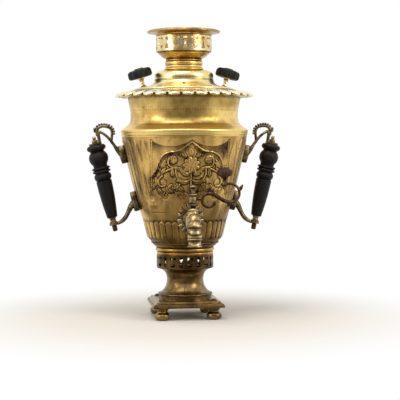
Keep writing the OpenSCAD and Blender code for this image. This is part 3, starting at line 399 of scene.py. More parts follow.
def brass(name, rubbed, field, tarnish, gloss, spots, dirt_and_shade=DARK_POLISH_AND_SHADE, lines=0.25, streak=1.0,
          cloud=16, dent=0.25):
    """Make a brass finish. gloss is its roughness where rubbed, spots the share that is tarnished."""
    finish = bpy.data.materials.new(name)
    finish.use_nodes = True
    tree = finish.node_tree
    metal = tree.nodes["Principled BSDF"]
    metal.inputs["Metallic"].default_value = 1.0
    spot = node(tree, "TexCoord")
    drawn = node(tree, "Mapping", {"Vector": spot.outputs["Object"], "Scale": (1, 1, streak)})
    clouds = node(tree, "TexNoise", {"Vector": drawn.outputs[0], "Scale": 1 / (cloud * MM), "Detail": 4.0})
    # The stored value darkens with dirt and painted shade; below nought it brightens with wear and painted
    # highlights.
    hollow = node(tree, "Attribute", attribute_name="hollow")
    wear_and_painted_highlight_mask = node(tree, "MapRange", {"Value": hollow.outputs["Fac"], "From Min": 0.0, "From Max": -1.0,
                                    "To Min": 1.0, "To Max": 0.0})
    cloudy = node(tree, "MapRange", {"Value": clouds.outputs[0], "From Min": 0.38, "From Max": 0.62})
    cloudy = node(tree, "Math", {0: cloudy.outputs[0], 1: wear_and_painted_highlight_mask.outputs[0]}, operation="MULTIPLY")
    tone = node(tree, "Mix", {0: cloudy.outputs[0], 6: linear(rubbed), 7: linear(field)},
                data_type="RGBA")
    blots = node(tree, "TexNoise", {"Vector": drawn.outputs[0], "Scale": 1 / (6 * MM), "Detail": 6.0,
                                    "Roughness": 0.62, "Distortion": 0.5})
    blotted = node(tree, "MapRange", {"Value": blots.outputs[0], "From Min": 0.68 - 0.26 * spots,
                                      "From Max": 0.86 - 0.26 * spots})
    blotted = node(tree, "Math", {0: blotted.outputs[0], 1: wear_and_painted_highlight_mask.outputs[0]}, operation="MULTIPLY")
    tone = node(tree, "Mix", {0: blotted.outputs[0], 6: tone.outputs[2], 7: linear(tarnish)},
                data_type="RGBA")
    pins = node(tree, "TexNoise", {"Vector": spot.outputs["Object"], "Scale": 1 / (1.3 * MM),
                                   "Detail": 2.0})
    pinned = node(tree, "MapRange", {"Value": pins.outputs[0], "From Min": 0.6, "From Max": 0.74,
                                     "To Max": 0.25 + 0.5 * spots})
    tone = node(tree, "Mix", {0: pinned.outputs[0], 6: tone.outputs[2], 7: linear(tarnish)},
                data_type="RGBA")
    ragged = node(tree, "Math", {0: blots.outputs[0], 1: 0.55}, operation="ADD")
    dirt_and_painted_shade_mask = node(tree, "Math", {0: hollow.outputs["Fac"], 1: ragged.outputs[0]}, operation="MULTIPLY",
                  use_clamp=True)
    tone = node(tree, "Mix", {0: dirt_and_painted_shade_mask.outputs[0], 6: tone.outputs[2], 7: linear(dirt_and_shade)},
                data_type="RGBA")
    tree.links.new(tone.outputs[2], metal.inputs["Base Color"])

    dull = node(tree, "Math", {0: blotted.outputs[0], 1: dirt_and_painted_shade_mask.outputs[0]}, operation="ADD")
    rough = node(tree, "MapRange", {"Value": dull.outputs[0], "From Max": 1.4, "To Min": gloss,
                                    "To Max": gloss + 0.3})
    tree.links.new(rough.outputs[0], metal.inputs["Roughness"])

    run = node(tree, "Attribute", attribute_name="tool_run")
    waves = node(tree, "Math", {0: run.outputs["Fac"], 1: math.tau / 1.1}, operation="MULTIPLY")
    waves = node(tree, "Math", {0: waves.outputs[0]}, operation="SINE")
    waves = node(tree, "Math", {0: waves.outputs[0], 1: lines}, operation="MULTIPLY")
    grit = node(tree, "Math", {0: waves.outputs[0], 1: pins.outputs[0]}, operation="ADD")
    dents = node(tree, "TexNoise", {"Vector": spot.outputs["Object"], "Scale": 1 / (19 * MM),
                                    "Detail": 1.0})
    wavy = node(tree, "Bump", {"Height": dents.outputs[0], "Strength": 1.0, "Distance": dent * MM})
    fine = node(tree, "Bump", {"Height": grit.outputs[0], "Normal": wavy.outputs[0], "Strength": 1.0,
                               "Distance": 0.02 * MM})
    tree.links.new(fine.outputs[0], metal.inputs["Normal"])
    return finish


# The lid's brass is the palest: buffed, and painted paler as lit from above.
buffed_brass_painted_toplit = brass("buffed_brass_painted_toplit", "#F9E9B2", "#EED48B", "#BA9856", 0.27, 0.08, dent=0.35)
pale_spun_brass = brass("pale_spun_brass", "#F6E8C0", "#D6BC80", "#846A42", 0.27, 0.3)
golden_spun_brass = brass("golden_spun_brass", "#F0CF80", "#CAA458", "#86693F", 0.32, 0.3, dent=0.4)
toned_spun_brass = brass("toned_spun_brass", "#D2AB62", "#A17D43", "#694F31", 0.29, 0.45)
chased_brass = brass("chased_brass", "#E0B86C", "#AA874D", "#665040", 0.32, 0.45, dirt_and_shade="#2A1F22",
                     streak=0.45, lines=0.1)
brown_spun_brass = brass("brown_spun_brass", "#A08250", "#6C5635", "#403224", 0.3, 0.5)
smoked_sheet_brass = brass("smoked_sheet_brass", "#6E5730", "#473720", "#30251A", 0.32, 0.5)
worn_cast_brass = brass("worn_cast_brass", "#D6BF90", "#937A52", "#4B3D2E", 0.34, 0.45, lines=0.0,
                        cloud=7)
brown_cast_bronze = brass("brown_cast_bronze", "#74593A", "#443524", "#28201A", 0.36, 0.5, lines=0.0,
                          cloud=7)
grey_cast_bronze = brass("grey_cast_bronze", "#94825F", "#544A3A", "#302A22", 0.36, 0.5, lines=0.0,
                         cloud=7)
print("brass finishes:", sorted(m.name for m in bpy.data.materials if "bra" in m.name))

# %% [markdown]
# The grips and knobs are turned birch, blackened with stain and shellac. The grain runs up the
# piece: 1.2 mm across and some 30 mm long, and it shows as faint ridges in the shine. Shellac is a
# resin of index 1.52. Where fingers rub, it goes a little brown.

# %% Stained wood


def stained_wood(name, stain, worn, gloss):
    """Make a finish of stained and shellacked wood."""
    finish = bpy.data.materials.new(name)
    finish.use_nodes = True
    tree = finish.node_tree
    skin = tree.nodes["Principled BSDF"]
    skin.inputs["IOR"].default_value = 1.52
    skin.inputs["Specular IOR Level"].default_value = 0.25
    spot = node(tree, "TexCoord")
    along = node(tree, "Mapping", {"Vector": spot.outputs["Object"], "Scale": (1, 1, 0.04)})
    grain = node(tree, "TexNoise", {"Vector": along.outputs[0], "Scale": 1 / (1.2 * MM), "Detail": 5.0,
                                    "Roughness": 0.6})
    rub = node(tree, "TexNoise", {"Vector": spot.outputs["Object"], "Scale": 1 / (14 * MM),
                                  "Detail": 3.0})
    rubbed = node(tree, "MapRange", {"Value": rub.outputs[0], "From Min": 0.5, "From Max": 0.75,
                                     "To Max": 0.8})
    tone = node(tree, "Mix", {0: rubbed.outputs[0], 6: linear(stain), 7: linear(worn)},
                data_type="RGBA")
    dark = node(tree, "MapRange", {"Value": grain.outputs[0], "From Min": 0.35, "From Max": 0.7,
                                   "To Min": 1.15, "To Max": 0.6})
    tone = node(tree, "VectorMath", {0: tone.outputs[2], 1: dark.outputs[0]}, operation="MULTIPLY")
    tree.links.new(tone.outputs[0], skin.inputs["Base Color"])
    sheen = node(tree, "MapRange", {"Value": rub.outputs[0], "From Min": 0.3, "From Max": 0.7,
                                    "To Min": gloss, "To Max": gloss + 0.14})
    tree.links.new(sheen.outputs[0], skin.inputs["Roughness"])
    ridges = node(tree, "Bump", {"Height": grain.outputs[0], "Strength": 1.0, "Distance": 0.06 * MM})
    tree.links.new(ridges.outputs[0], skin.inputs["Normal"])
    return finish


black_stained_birch = stained_wood("black_stained_birch", "#151312", "#1E1A18", 0.43)
brown_stained_birch = stained_wood("brown_stained_birch", "#40291B", "#7A5238", 0.42)

# %% [markdown]
# Inside, the fire tube is tinned outside and sooty within, the grate and the screws are grey iron,
# and the packing behind the tap is oiled leather. Iron is a dark metal with rust in its pores, soot a
# matt black, leather a soft brown with a pebble of 1.5 mm.

# %% Iron, soot and leather


def rough_stuff(name, one, two, metallic, gloss, grain, pit):
    """Make a finish of two mottled colours with a grain of some millimetres, pitted as deep."""
    finish = bpy.data.materials.new(name)
    finish.use_nodes = True
    tree = finish.node_tree
    skin = tree.nodes["Principled BSDF"]
    skin.inputs["Metallic"].default_value = metallic
    spot = node(tree, "TexCoord")
    mottle = node(tree, "TexNoise", {"Vector": spot.outputs["Object"], "Scale": 1 / (grain * MM),
                                     "Detail": 6.0, "Roughness": 0.65})
    tone = node(tree, "ValToRGB", {"Fac": mottle.outputs[0]})
    tone.color_ramp.elements[0].position = 0.35
    tone.color_ramp.elements[0].color = linear(one)
    tone.color_ramp.elements[1].position = 0.68
    tone.color_ramp.elements[1].color = linear(two)
    tree.links.new(tone.outputs[0], skin.inputs["Base Color"])
    rough = node(tree, "MapRange", {"Value": mottle.outputs[0], "To Min": gloss, "To Max": gloss + 0.25})
    tree.links.new(rough.outputs[0], skin.inputs["Roughness"])
    pits = node(tree, "Bump", {"Height": mottle.outputs[0], "Strength": 1.0, "Distance": pit * MM})
    tree.links.new(pits.outputs[0], skin.inputs["Normal"])
    return finish


grey_cast_iron = rough_stuff("grey_cast_iron", "#3A3734", "#6B5A4C", 0.85, 0.5, 2.5, 0.12)
sooty_tinned_tube = rough_stuff("sooty_tinned_tube", "#4B4640", "#8A8172", 0.7, 0.45, 9, 0.05)
oiled_leather = rough_stuff("oiled_leather", "#4A3524", "#6E4F35", 0.0, 0.55, 1.5, 0.2)


def dress(finish, *names):
    """Give CAD solids that stay in view their finish."""
    for name in names:
        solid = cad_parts[name]
        for holder in solid.material_slots:
            holder.material = finish
        if not solid.material_slots:
            solid.data.materials.append(finish)


dress(smoked_sheet_brass, "air_gallery")
dress(pale_spun_brass, "stand_gallery")
dress(sooty_tinned_tube, "fire_tube", "body_floor")
dress(grey_cast_iron, "grate", "foot_screws", "tie_rod_left", "tie_rod_right")
dress(oiled_leather, "tap_seal")
dress(worn_cast_brass, "tap_nut", "key_washer", "key_screw")
print("solids that stay in view are dressed")

# %% [markdown]
# ## Base and pedestal
# Four bun feet are turned from bar: a bulb, a neck and a collar under the plate. The square plate is
# cast, with one moulding mitred round its corners. A spin of four steps makes just that: each step is
# a side, and the corners are the mitres.

# %% Bun feet
FOOT_R, FOOT_H = 10.5, 17
PLATE_W, PLATE_T = 98, 8.5
foot_place = PLATE_W / 2 - FOOT_R - 3
bulb = ([(0, 0), (5.8, 0)]
        + bez((5.8, 0), (9.4, 0.3), (11, 3.4), (FOOT_R, 6.5), 12)
        + bez((FOOT_R, 6.5), (10, 9.3), (6.5, 10.2), (6.5, 12.2), 10)
        + [(6.5, 12.9)] + arc(7.4, 13.9, 1.0, 250, 180, 1) + arc(7.5, 14.6, 0.9, -70, 70, 5)
        + [(7.9, 15.6), (8.4, 15.8), (8.4, FOOT_H), (0, FOOT_H)])
for side, x in SIDES:
    for end, y in (("front", -1), ("back", 1)):
        piece(f"bun_foot_{end}_{side}", turned(bulb, 48), brown_spun_brass, "samovar",
              f"foot_{end}_{side}",
              ON_AXIS @ Matrix.Translation((x * foot_place, y * foot_place, 0)),
              hollow=lambda co: band(co.z, 13, 0.8))

# %% Square plate
half = PLATE_W / 2
moulding = ([(18, 0), (half - 0.6, 0), (half, 0.6), (half, 2.6)]
            + arc(half - 1, 2.6, 1, 0, 90, 6)
            + bez((half - 1, 3.6), (half - 1, 6.4), (half - 5, 5.1), (half - 5, 7.6), 12)
            + arc(half - 5.9, 7.6, 0.9, 0, 90, 4) + [(18, PLATE_T)])
bm = bmesh.new()
turn(bm, [(x * math.sqrt(2), z) for x, z in moulding], 4)
long_edges = [e for e in bm.edges if abs(e.verts[0].co.z - e.verts[1].co.z) < 1e-4
              and e.calc_length() > 20]
bmesh.ops.subdivide_edges(bm, edges=long_edges, cuts=23, use_grid_fill=True)
bmesh.ops.rotate(bm, verts=bm.verts, matrix=Matrix.Rotation(math.radians(45), 3, "Z"))
piece("square_plate", bm, brown_spun_brass, "samovar", "base_plate",
      ON_AXIS @ Matrix.Translation((0, 0, FOOT_H)),
      hollow=lambda co: 0.8 * band(co.z, 4.2, 0.8))

# %% [markdown]
# The pedestal is spun from sheet: a step on the plate, a rolled lip, a waist and a bowl that carries
# the air gallery. Its sheet is first brazed into a tube, and the seam still shows as a fine dark line
# up the waist. The line is cut into the spun skin by pulling one row of points in.

# %% Pedestal
PEDESTAL_Z = FOOT_H + PLATE_T
SHEET = 1.6
SEAM_AT = -7.3


def round_from_front(co):
    """Angle about the axis in degrees, 0 at the tap's side, growing to the right."""
    return math.degrees(math.atan2(co.x, -co.y))


outer = ([(36.8, 0), (36.8, 6.4)] + arc(37.1, 7.4, 0.95, -70, 90, 8)
         + bez((36, 8.6), (29, 12), (25.5, 19.3), (25.5, 27.3), 24)
         + bez((25.5, 27.3), (25.5, 35.3), (28.5, 41), (38.5, 43.2), 24)
         + [(39.3, 43.5), (39.5, 44)])
inner = (bez((34.5, 44), (27.5, 42.6), (23.9, 36.3), (23.9, 27.3), 12)
         + bez((23.9, 27.3), (23.9, 19.3), (26.4, 10.5), (34.4, 7.7), 12) + [(35.2, 7.5), (35.2, 0)])
bm = turned(outer + inner, 240)
seam = [v for v in bm.verts if abs(round_from_front(v.co) - SEAM_AT) < 0.8 and 10 < v.co.z < 42]
for v in seam:
    v.co.xy *= 1 - 0.28 / v.co.xy.length


def pedestal_hollow(co):
    """Dirt at the lip and along the seam."""
    lip = band(co.z, 8.7, 1.1) + band(co.z, 6.3, 0.7)
    line = band(round_from_front(co), SEAM_AT, 1.2) if 10 < co.z < 42 else 0
    return min(1, 0.7 * lip + 0.75 * line)


piece("spun_pedestal", bm, brown_spun_brass, "samovar", "pedestal",
      ON_AXIS @ Matrix.Translation((0, 0, PEDESTAL_Z)), hollow=pedestal_hollow)

# %% [markdown]
# Above the pierced air gallery sits a turned ring: a wire, a fat bead, then a hollow curve out to the
# seam where the urn is soldered on. Its inner ledge carries the fire tube.

# %% Ring under the urn
RING_Z = PEDESTAL_Z + 44 + 18.5
RING_H = 17.7
outer = ([(37, 0), (39.5, 0)] + arc(37.9, 2.2, 1.7, -65, 65, 10) + [(38.2, 4.2)]
         + arc(38.3, 7.3, 2.7, -74, 74, 16) + [(39.1, 10.2), (40, 10.4)]
         + bez((40.6, 10.6), (42.2, 11.7), (43.2, 13), (44.8, 14.6), 10)
         + [(45.4, 14.8), (45.6, 15.3)] + arc(46.3, 16.5, 0.9, -90, 80, 7) + [(46.4, RING_H)])
inner = [(36.5, RING_H), (36.5, 8.9), (29, 8.9), (29, 6.4), (37, 6.4)]
# Painted shade darkens the upper curve of the ring, under the overhang of the cup; thin dark lines mark its
# grooves.
piece("turned_foot_ring", turned(outer + inner, 160), toned_spun_brass, "samovar", "foot_ring",
      ON_AXIS @ Matrix.Translation((0, 0, RING_Z)),
      hollow=lambda co: (0.5 * (co.z > 10.6)
                         + sum(0.9 * band(co.z, z, 0.8) for z in (4.3, 10.3, 15.1, 17.6))))

# %% [markdown]
# ## The urn
# The lower cup is gadrooned: thirty-six upright lobes with rounded heads, driven out from the inside
# over a stake. The hollows between them are never polished. The lobes run over the joint of the cup
# and the wall, so one function shapes both pieces.

# %% Gadrooned cup
SEAM_Z = RING_Z + RING_H
WALL_Z, WALL_H = SEAM_Z + 26, 120.3
BELT_Z = WALL_Z + WALL_H
MOUTH_Z = BELT_Z + 11.2 + 14 + 28
CUP_R, BELT_R, NECK_R, MOUTH_R = 57.3, 87.2, 74.5, 78.4
LOBES = 36


def wall_r(z):
    """Radius of the sloping wall at a height."""
    t = (z - WALL_Z) / WALL_H
    return CUP_R + (BELT_R - CUP_R) * t + 4.8 * t * (1 - t)


def lobe(co):
    """How far a point lies across its lobe and past its head: 0 on the ridge, 1 in the hollow."""
    pitch = 360 / LOBES
    off = (round_from_front(co) + pitch / 2) % pitch - pitch / 2
    across = math.radians(off) * co.xy.length
    half_w = math.radians(pitch / 2) * co.xy.length
    past = max(0, co.z - (WALL_Z + 4.2 - half_w), SEAM_Z + 7.2 + half_w * 0.6 - co.z)
    return math.hypot(across, past) / half_w


def swell_lobes(bm, low_z, high_z):
    """Drive the lobes out of the skin between two heights."""
    for v in bm.verts:
        if low_z <= v.co.z <= high_z and v.co.xy.length > 47:
            s = lobe(v.co)
            rise = -0.85 + (1.05 * math.sqrt(1 - s * s) if s < 1 else 0.85 * min(1, (s - 1) / 0.35))
            v.co.xy *= 1 + rise / v.co.xy.length


def grime(co):
    """Smoke and fat that settled low on the right of the tap."""
    side = clamp((round_from_front(co) - 6) / 16) * clamp((182 - co.z) / 26)
    return side * (0.26 + 0.3 * noise.noise(Vector((co.x, co.y, co.z * 0.3)) / 11))


def lobe_dirt(co):
    """Black polish between the lobes and over their heads."""
    s = lobe(co)
    edge = clamp((s - 0.7) / 0.3) * (1 - 0.7 * clamp((s - 1.05) / 0.3))
    worn = min(1, max(0.25, 0.72 + 0.9 * noise.noise(Vector((co.x, co.y, co.z * 0.4)) / 13)))
    return min(1, edge * worn - 0.5 * max(0, 0.5 - s) + grime(co))


lean = (BELT_R - CUP_R) / WALL_H
low_r = CUP_R - (26 - 6.24) * lean
outer = ([(46.2, 0), (47, 0.2), (47.2, 0.8)]
         + bez((47.2, 0.8), (48.4, 3), (low_r - 1.6, 3.6), (low_r - 1.6, 5.4), 8)
         + [(low_r - 1.2, 6.2)]
         + [(low_r + (CUP_R - low_r) * i / 26, 6.24 + 19.66 * i / 26) for i in range(27)])
inner = [(CUP_R - SHEET, 26), (low_r - 2.6, 6.4), (44.8, 1), (44.8, 0)]
bm = turned(outer + inner, LOBES * 14, SEAM_Z)
swell_lobes(bm, SEAM_Z + 6.2, WALL_Z - 0.02)
# The curled-in foot of the cup and the crease above it lie under its overhang and are painted dark as shade.
piece("gadrooned_cup_spun", bm, chased_brass, "samovar", "gadrooned_cup",
      hollow=lambda co: max(lobe_dirt(co) if co.z > SEAM_Z + 6 else 0.62,
                            0.9 * band(co.z - SEAM_Z, 5.6, 1.3)))

# %% [markdown]
# The front of the urn is chased: punches drive a pattern into the wall, and the black that stays in
# the marks draws it. The pattern here is a plain bouquet of scrolls, leaves and flowers in an
# ogee-headed arch, flanked by tall lancet leaves. It is laid out flat, in millimetres round and up,
# as a list of strokes. Each stroke is a run of points with a half width. A raised stroke gets an
# outline, and one with a negative width is a plain cut of the graver.

# %% Layout of the chased front
PANEL_HALF, PANEL_LOW, FIELD_TOP = 57, 167, 247
strokes = []


def stroke(points, wide, both=True):
    """Add a chased stroke. wide(t) is its half width; both draws its mirror image too."""
    long = sum(math.dist(a, b) for a, b in zip(points, points[1:]))
    done = 0
    for (x0, z0), (x1, z1) in zip(points, points[1:]):
        step = math.dist((x0, z0), (x1, z1))
        for k in range(max(1, round(step / 0.5))):
            t = k / max(1, round(step / 0.5))
            x, z, half = x0 + t * (x1 - x0), z0 + t * (z1 - z0), wide((done + t * step) / long)
            strokes.append((x, z, half))
            if both:
                strokes.append((-x, z, half))
        done += step


def cut_at(x, z, long, angle, wide=0.3, both=True):
    """Engrave a short straight cut from a point, at an angle up from the horizontal."""
    a = math.radians(angle)
    stroke([(x, z), (x + long * math.cos(a), z + long * math.sin(a))], lambda t: -wide * (1 - 0.5 * t), both)


def leaf_at(x, z, long, angle, fat=2.4, both=True):
    """Chase a pointed leaf from its foot, with a vein up its middle."""
    a = math.radians(angle)
    bend = [(x + long * t * math.cos(a + 0.5 * t), z + long * t * math.sin(a + 0.5 * t))
            for t in (0, 0.2, 0.4, 0.6, 0.8, 1)]
    stroke(bend, lambda t: 0.5 + fat * math.sin(math.pi * t ** 0.8), both)
    stroke(bend[:-1], lambda t: -0.3, both)


def flower_at(x, z, size, petals, both=True):
    """Chase a round flower: a boss and a ring of petals, each with a cut in its middle."""
    stroke([(x, z), (x + 0.3, z)], lambda t: 0.24 * size, both)
    for k in range(petals):
        a = math.tau * (k + 0.5) / petals
        stroke([(x + 0.42 * size * math.cos(a), z + 0.42 * size * math.sin(a)),
                (x + 0.86 * size * math.cos(a), z + 0.86 * size * math.sin(a))],
               lambda t: size * (0.1 + 0.16 * math.sin(math.pi * (0.25 + 0.6 * t))), both)
        if size > 5:
            cut_at(x + 0.4 * size * math.cos(a), z + 0.4 * size * math.sin(a), 0.4 * size,
                   math.degrees(a), 0.25, both)


def scroll_at(x, z, size, start, turns, wide=1.3, both=True):
    """Chase a spiral that winds in to its eye."""
    run = []
    for i in range(25):
        t = i / 24
        a = math.radians(start + 360 * turns * t)
        run.append((x + size * (1 - 0.82 * t) * math.cos(a), z + size * (1 - 0.82 * t) * math.sin(a)))
    stroke(run, lambda t: wide * (1 - 0.35 * t), both)


def arch_top(u):
    """Height of the arch over a place across the panel."""
    u = abs(u)
    for (x0, z0), (x1, z1) in zip(ARCH, ARCH[1:]):
        if x0 <= u <= x1:
            return z0 + (z1 - z0) * (u - x0) / max(x1 - x0, 1e-6)
    return ARCH[-1][1]


ARCH = (bez((0, 245), (9, 240), (13, 233), (24, 232.4), 12)
        + bez((24, 232.4), (38, 232), (44, 224), (48, 210), 12)[1:]
        + bez((48, 210), (50, 206), (54, 204), (56.5, 199), 8)[1:])


def swag(u):
    """Lower edge of the plain field over the arch: two shallow swags."""
    return FIELD_TOP - 9.5 * math.sin(math.pi * min(1, abs(u) / PANEL_HALF)) ** 0.8


# %% Strokes of the bouquet
stroke([(x, z - 2) for x, z in ARCH], lambda t: 1.0)
for i in range(2, len(ARCH) - 1):
    (x0, z0), (x1, z1) = ARCH[i - 1], ARCH[i + 1]
    down = math.degrees(math.atan2(z1 - z0, x1 - x0)) - 90
    for shift in (0, 0.5):
        x, z = ARCH[i][0] + shift * (x1 - x0) / 2, ARCH[i][1] + shift * (z1 - z0) / 2
        cut_at(x, z - 4.2, 4.6 - 2 * shift, down + 12, 0.35)
stroke([(PANEL_HALF - 1, 245), (PANEL_HALF - 1, PANEL_LOW)], lambda t: 0.9)
stroke([(5, 239), (5, 238.6)], lambda t: 1.8)
flower_at(0, 212, 11.5, 9, both=False)
stroke([(0, 200), (0, 186), (1.5, 176)], lambda t: 0.8 + 0.5 * t, both=False)
leaf_at(0, 224.5, 11, 78, 2.2, both=False)
for x, z, long, angle, fat in ((7, 223, 11, 38, 2.2), (3, 199, 15, 8, 2.3), (3, 190, 14, -20, 2.2),
                               (24, 197, 10, 60, 1.9), (50, 196, 12, 235, 2), (47, 180, 11, 200, 2),
                               (24, 176, 12, 8, 2), (12, 207, 9, -8, 1.8), (40, 200, 10, 95, 1.9),
                               (10, 178, 9, 20, 1.8), (31, 224, 7, 200, 1.4), (52, 188, 8, 250, 1.5),
                               (30, 180, 8, 100, 1.5), (14, 194, 7, -60, 1.4), (46, 206, 6, 60, 1.3)):
    leaf_at(x, z, long, angle, fat)
scroll_at(24, 218, 9.5, 250, 1.15)
scroll_at(38, 189, 8.5, 80, -1.1)
scroll_at(13, 229, 3.6, 300, 0.9, 0.9)
scroll_at(51, 200, 3.4, 120, -0.9, 0.9)
scroll_at(8, 170, 4.5, 90, 1, 1)
scroll_at(34, 171, 4.5, 60, -1, 1)
stroke(bez((2, 192), (14, 186), (22, 196), (21, 209), 10), lambda t: 1.1)
stroke(bez((21, 209), (32, 206), (42, 202), (39.5, 197.4), 10), lambda t: 1.1)
flower_at(24, 218, 4.6, 6)
flower_at(38, 189, 4.4, 6)
flower_at(39, 214, 6.2, 7)
flower_at(18, 183, 5.6, 7)
for k in range(11):
    cut_at(3.2 + 4.6 * k, 172 + 2.5 * math.sin(1.7 * k), 4.2, 70 + 25 * math.sin(2.3 * k), 0.35)
    cut_at(4 + 4.4 * k, 203 + 3 * math.sin(2.1 * k), 3.6, 100 + 40 * math.sin(1.3 * k), 0.32)
chasing = kdtree.KDTree(len(strokes))
for i, (x, z, half) in enumerate(strokes):
    chasing.insert((x, z, 0), i)
chasing.balance()
print("chased samples:", len(strokes))

# %% [markdown]
# The layout is wrapped on the wall. A point of the skin looks up the strokes near it: under a raised
# one it rises like the back of a leaf and is rubbed bright, and just outside it falls into the black
# outline that the punch left. The ground inside the arch is matted with small strikes. The corners
# over the arch were struck hardest and never come clean. Two soft patches on the bouquet, left and
# right of the middle, are painted highlights. Below, the wall is plain, with one stain.

# %% Relief, dirt and painted light of the wall
LANCETS_FROM, LANCET_PITCH, LANCETS_LOW = 41.5, 11.54, 158
DOTS_Z = 287


def chased(co):
    """Relief in millimetres and darkness of a point of the wall: 1 is black, -1 bright,
    from rubbing and from two painted highlights.
    """
    angle = round_from_front(co)
    radius = wall_r(co.z)
    u = math.radians(angle) * radius
    if abs(u) < PANEL_HALF + 1.5 and PANEL_LOW - 3 < co.z < 248:
        out, cut = 9.0, 0.0
        for near, i, gap in chasing.find_range((u, co.z, 0), 4.6):
            half = strokes[i][2]
            if half > 0:
                out = min(out, gap - half)
            else:
                cut = max(cut, 1 - max(0, gap + half) / 0.75)
        fade = clamp((co.z - PANEL_LOW + 2) / 9)
        worn = min(1, 0.85 + 0.6 * noise.noise(Vector((u, co.z, 3)) / 14)) * fade
        line = max(0, 1 - max(0, abs(out - 0.5) - 0.5) / 0.6)
        # Two soft patches on the bouquet are painted highlights: they push the metal to its bright, rubbed
        # tone.
        glow = (0.9 * math.exp(-((u + 35) / 13) ** 2 - ((co.z - 213) / 19) ** 2)
                + 0.9 * math.exp(-((u - 19) / 13) ** 2 - ((co.z - 223) / 12) ** 2)) * (1 - max(line, cut))
        if out < 0:
            return (0.62 * min(1, -out / 1.4) ** 0.5 * fade - 0.25 * cut,
                    max(-1, worn * (max(cut, line) * 1.7 - 0.75) - glow))
        if co.z < arch_top(u) - 2:
            mat = 0.5 + 0.5 * noise.noise(Vector((u, co.z, 0)) / 1.7)
            return (-0.3 * line - 0.12 * mat * fade - 0.2 * cut,
                    worn * min(1, max(line, cut, 0.6 * mat - 0.4 - 0.3 * (co.z > 190) - glow)))
        if co.z < swag(u) and co.z > 196:
            mat = 0.5 + 0.5 * noise.noise(Vector((u, co.z, 0)) / 1.9)
            return (-0.25 - 0.1 * mat,
                    (0.6 + 0.35 * mat) * clamp((co.z - (226 if u < 0 else 216)) / 14) - glow)
        return (-0.25 * line, 0.8 * line - 0.3 + grime(co))
    stains = (0.45 * max(0, noise.noise(Vector((co.x, co.y, co.z * 0.35)) / 9) - 0.1)
              * (1 if angle < 0 else 0.5))
    if LANCETS_FROM < abs(angle) and LANCETS_LOW < co.z < FIELD_TOP:
        k = (abs(angle) - LANCETS_FROM) % LANCET_PITCH / LANCET_PITCH - 0.5
        t = (co.z - LANCETS_LOW) / (FIELD_TOP - LANCETS_LOW)
        across = math.radians(k * LANCET_PITCH) * radius
        half = 0.47 * math.radians(LANCET_PITCH) * radius * math.sin(math.pi * t ** 1.25) ** 0.55
        s = abs(across) / max(half, 0.3)
        worn = (0.6 + 0.9 * noise.noise(Vector((co.x, co.y, co.z * 0.5)) / 16)) * (1 if angle < 0 else 0.6)
        rib = band(across, 0, 0.9) * (0.1 < t < 0.86)
        if s < 1:
            return (0.7 * math.sqrt(1 - s * s) - 0.35 * rib,
                    stains + worn * (0.7 * max(0, s - 0.74) / 0.26 + 0.5 * rib) - 0.15)
        fall = max(0, 1 - (s - 1) * half / 2.6) * min(1, t / 0.15)
        return (-0.35 * fall,
                stains + worn * (0.3 * min(1, t / 0.2) + 0.6 * fall) * clamp((FIELD_TOP - co.z) / 6))
    line = band(co.z, 148, 0.9) * (1 if -53 < angle < -33 else 0)
    spot = max(0, 1 - math.hypot((angle + 47) / 8, (co.z - 157) / 7) ** 3)
    return (-0.2 * line, min(1, 0.9 * line + 0.55 * spot + 1.5 * stains + grime(co)))


def wall_dirt_and_painted_light(co):
    """Dirt and wear on the outer skin from foot to mouth, with painted shade under the rim
    and a painted dark reflection on the front of the neck.
    """
    if co.xy.length < NECK_R - 1.2 and co.z > BELT_Z:
        return 0.3
    if co.z < WALL_Z + 7:
        return lobe_dirt(co)
    if co.z < BELT_Z - 1:
        return chased(co)[1]
    # The belt is kept bright. Painted shade darkens the top of the neck under the rim, and a painted dark
    # reflection lies on the front of the neck.
    dots_and_painted_light = -1 if co.z < SHOULDER_Z + 3 else 0.3 * clamp((co.z - 284) / 12)
    dots_and_painted_light += 0.35 * band(co.z, NECK_Z, 9) * band(round_from_front(co), -4, 34)
    if abs(co.z - DOTS_Z) < 2:
        step = (round_from_front(co) % 3 - 1.5) * math.radians(1) * NECK_R
        dots_and_painted_light = 0.75 * max(0, 1 - math.hypot(step, co.z - DOTS_Z) / 1.3)
    # The band just under the mouth is painted shade under the rim; the one at the belt is its groove.
    groove = 0.7 * band(co.z - BELT_Z, 0.4, 0.8) + 0.35 * band(co.z - MOUTH_Z, -1, 2.2)
    return min(1, dots_and_painted_light + groove + 0.5 * band(co.z, BELT_Z + 12.4, 1.6))


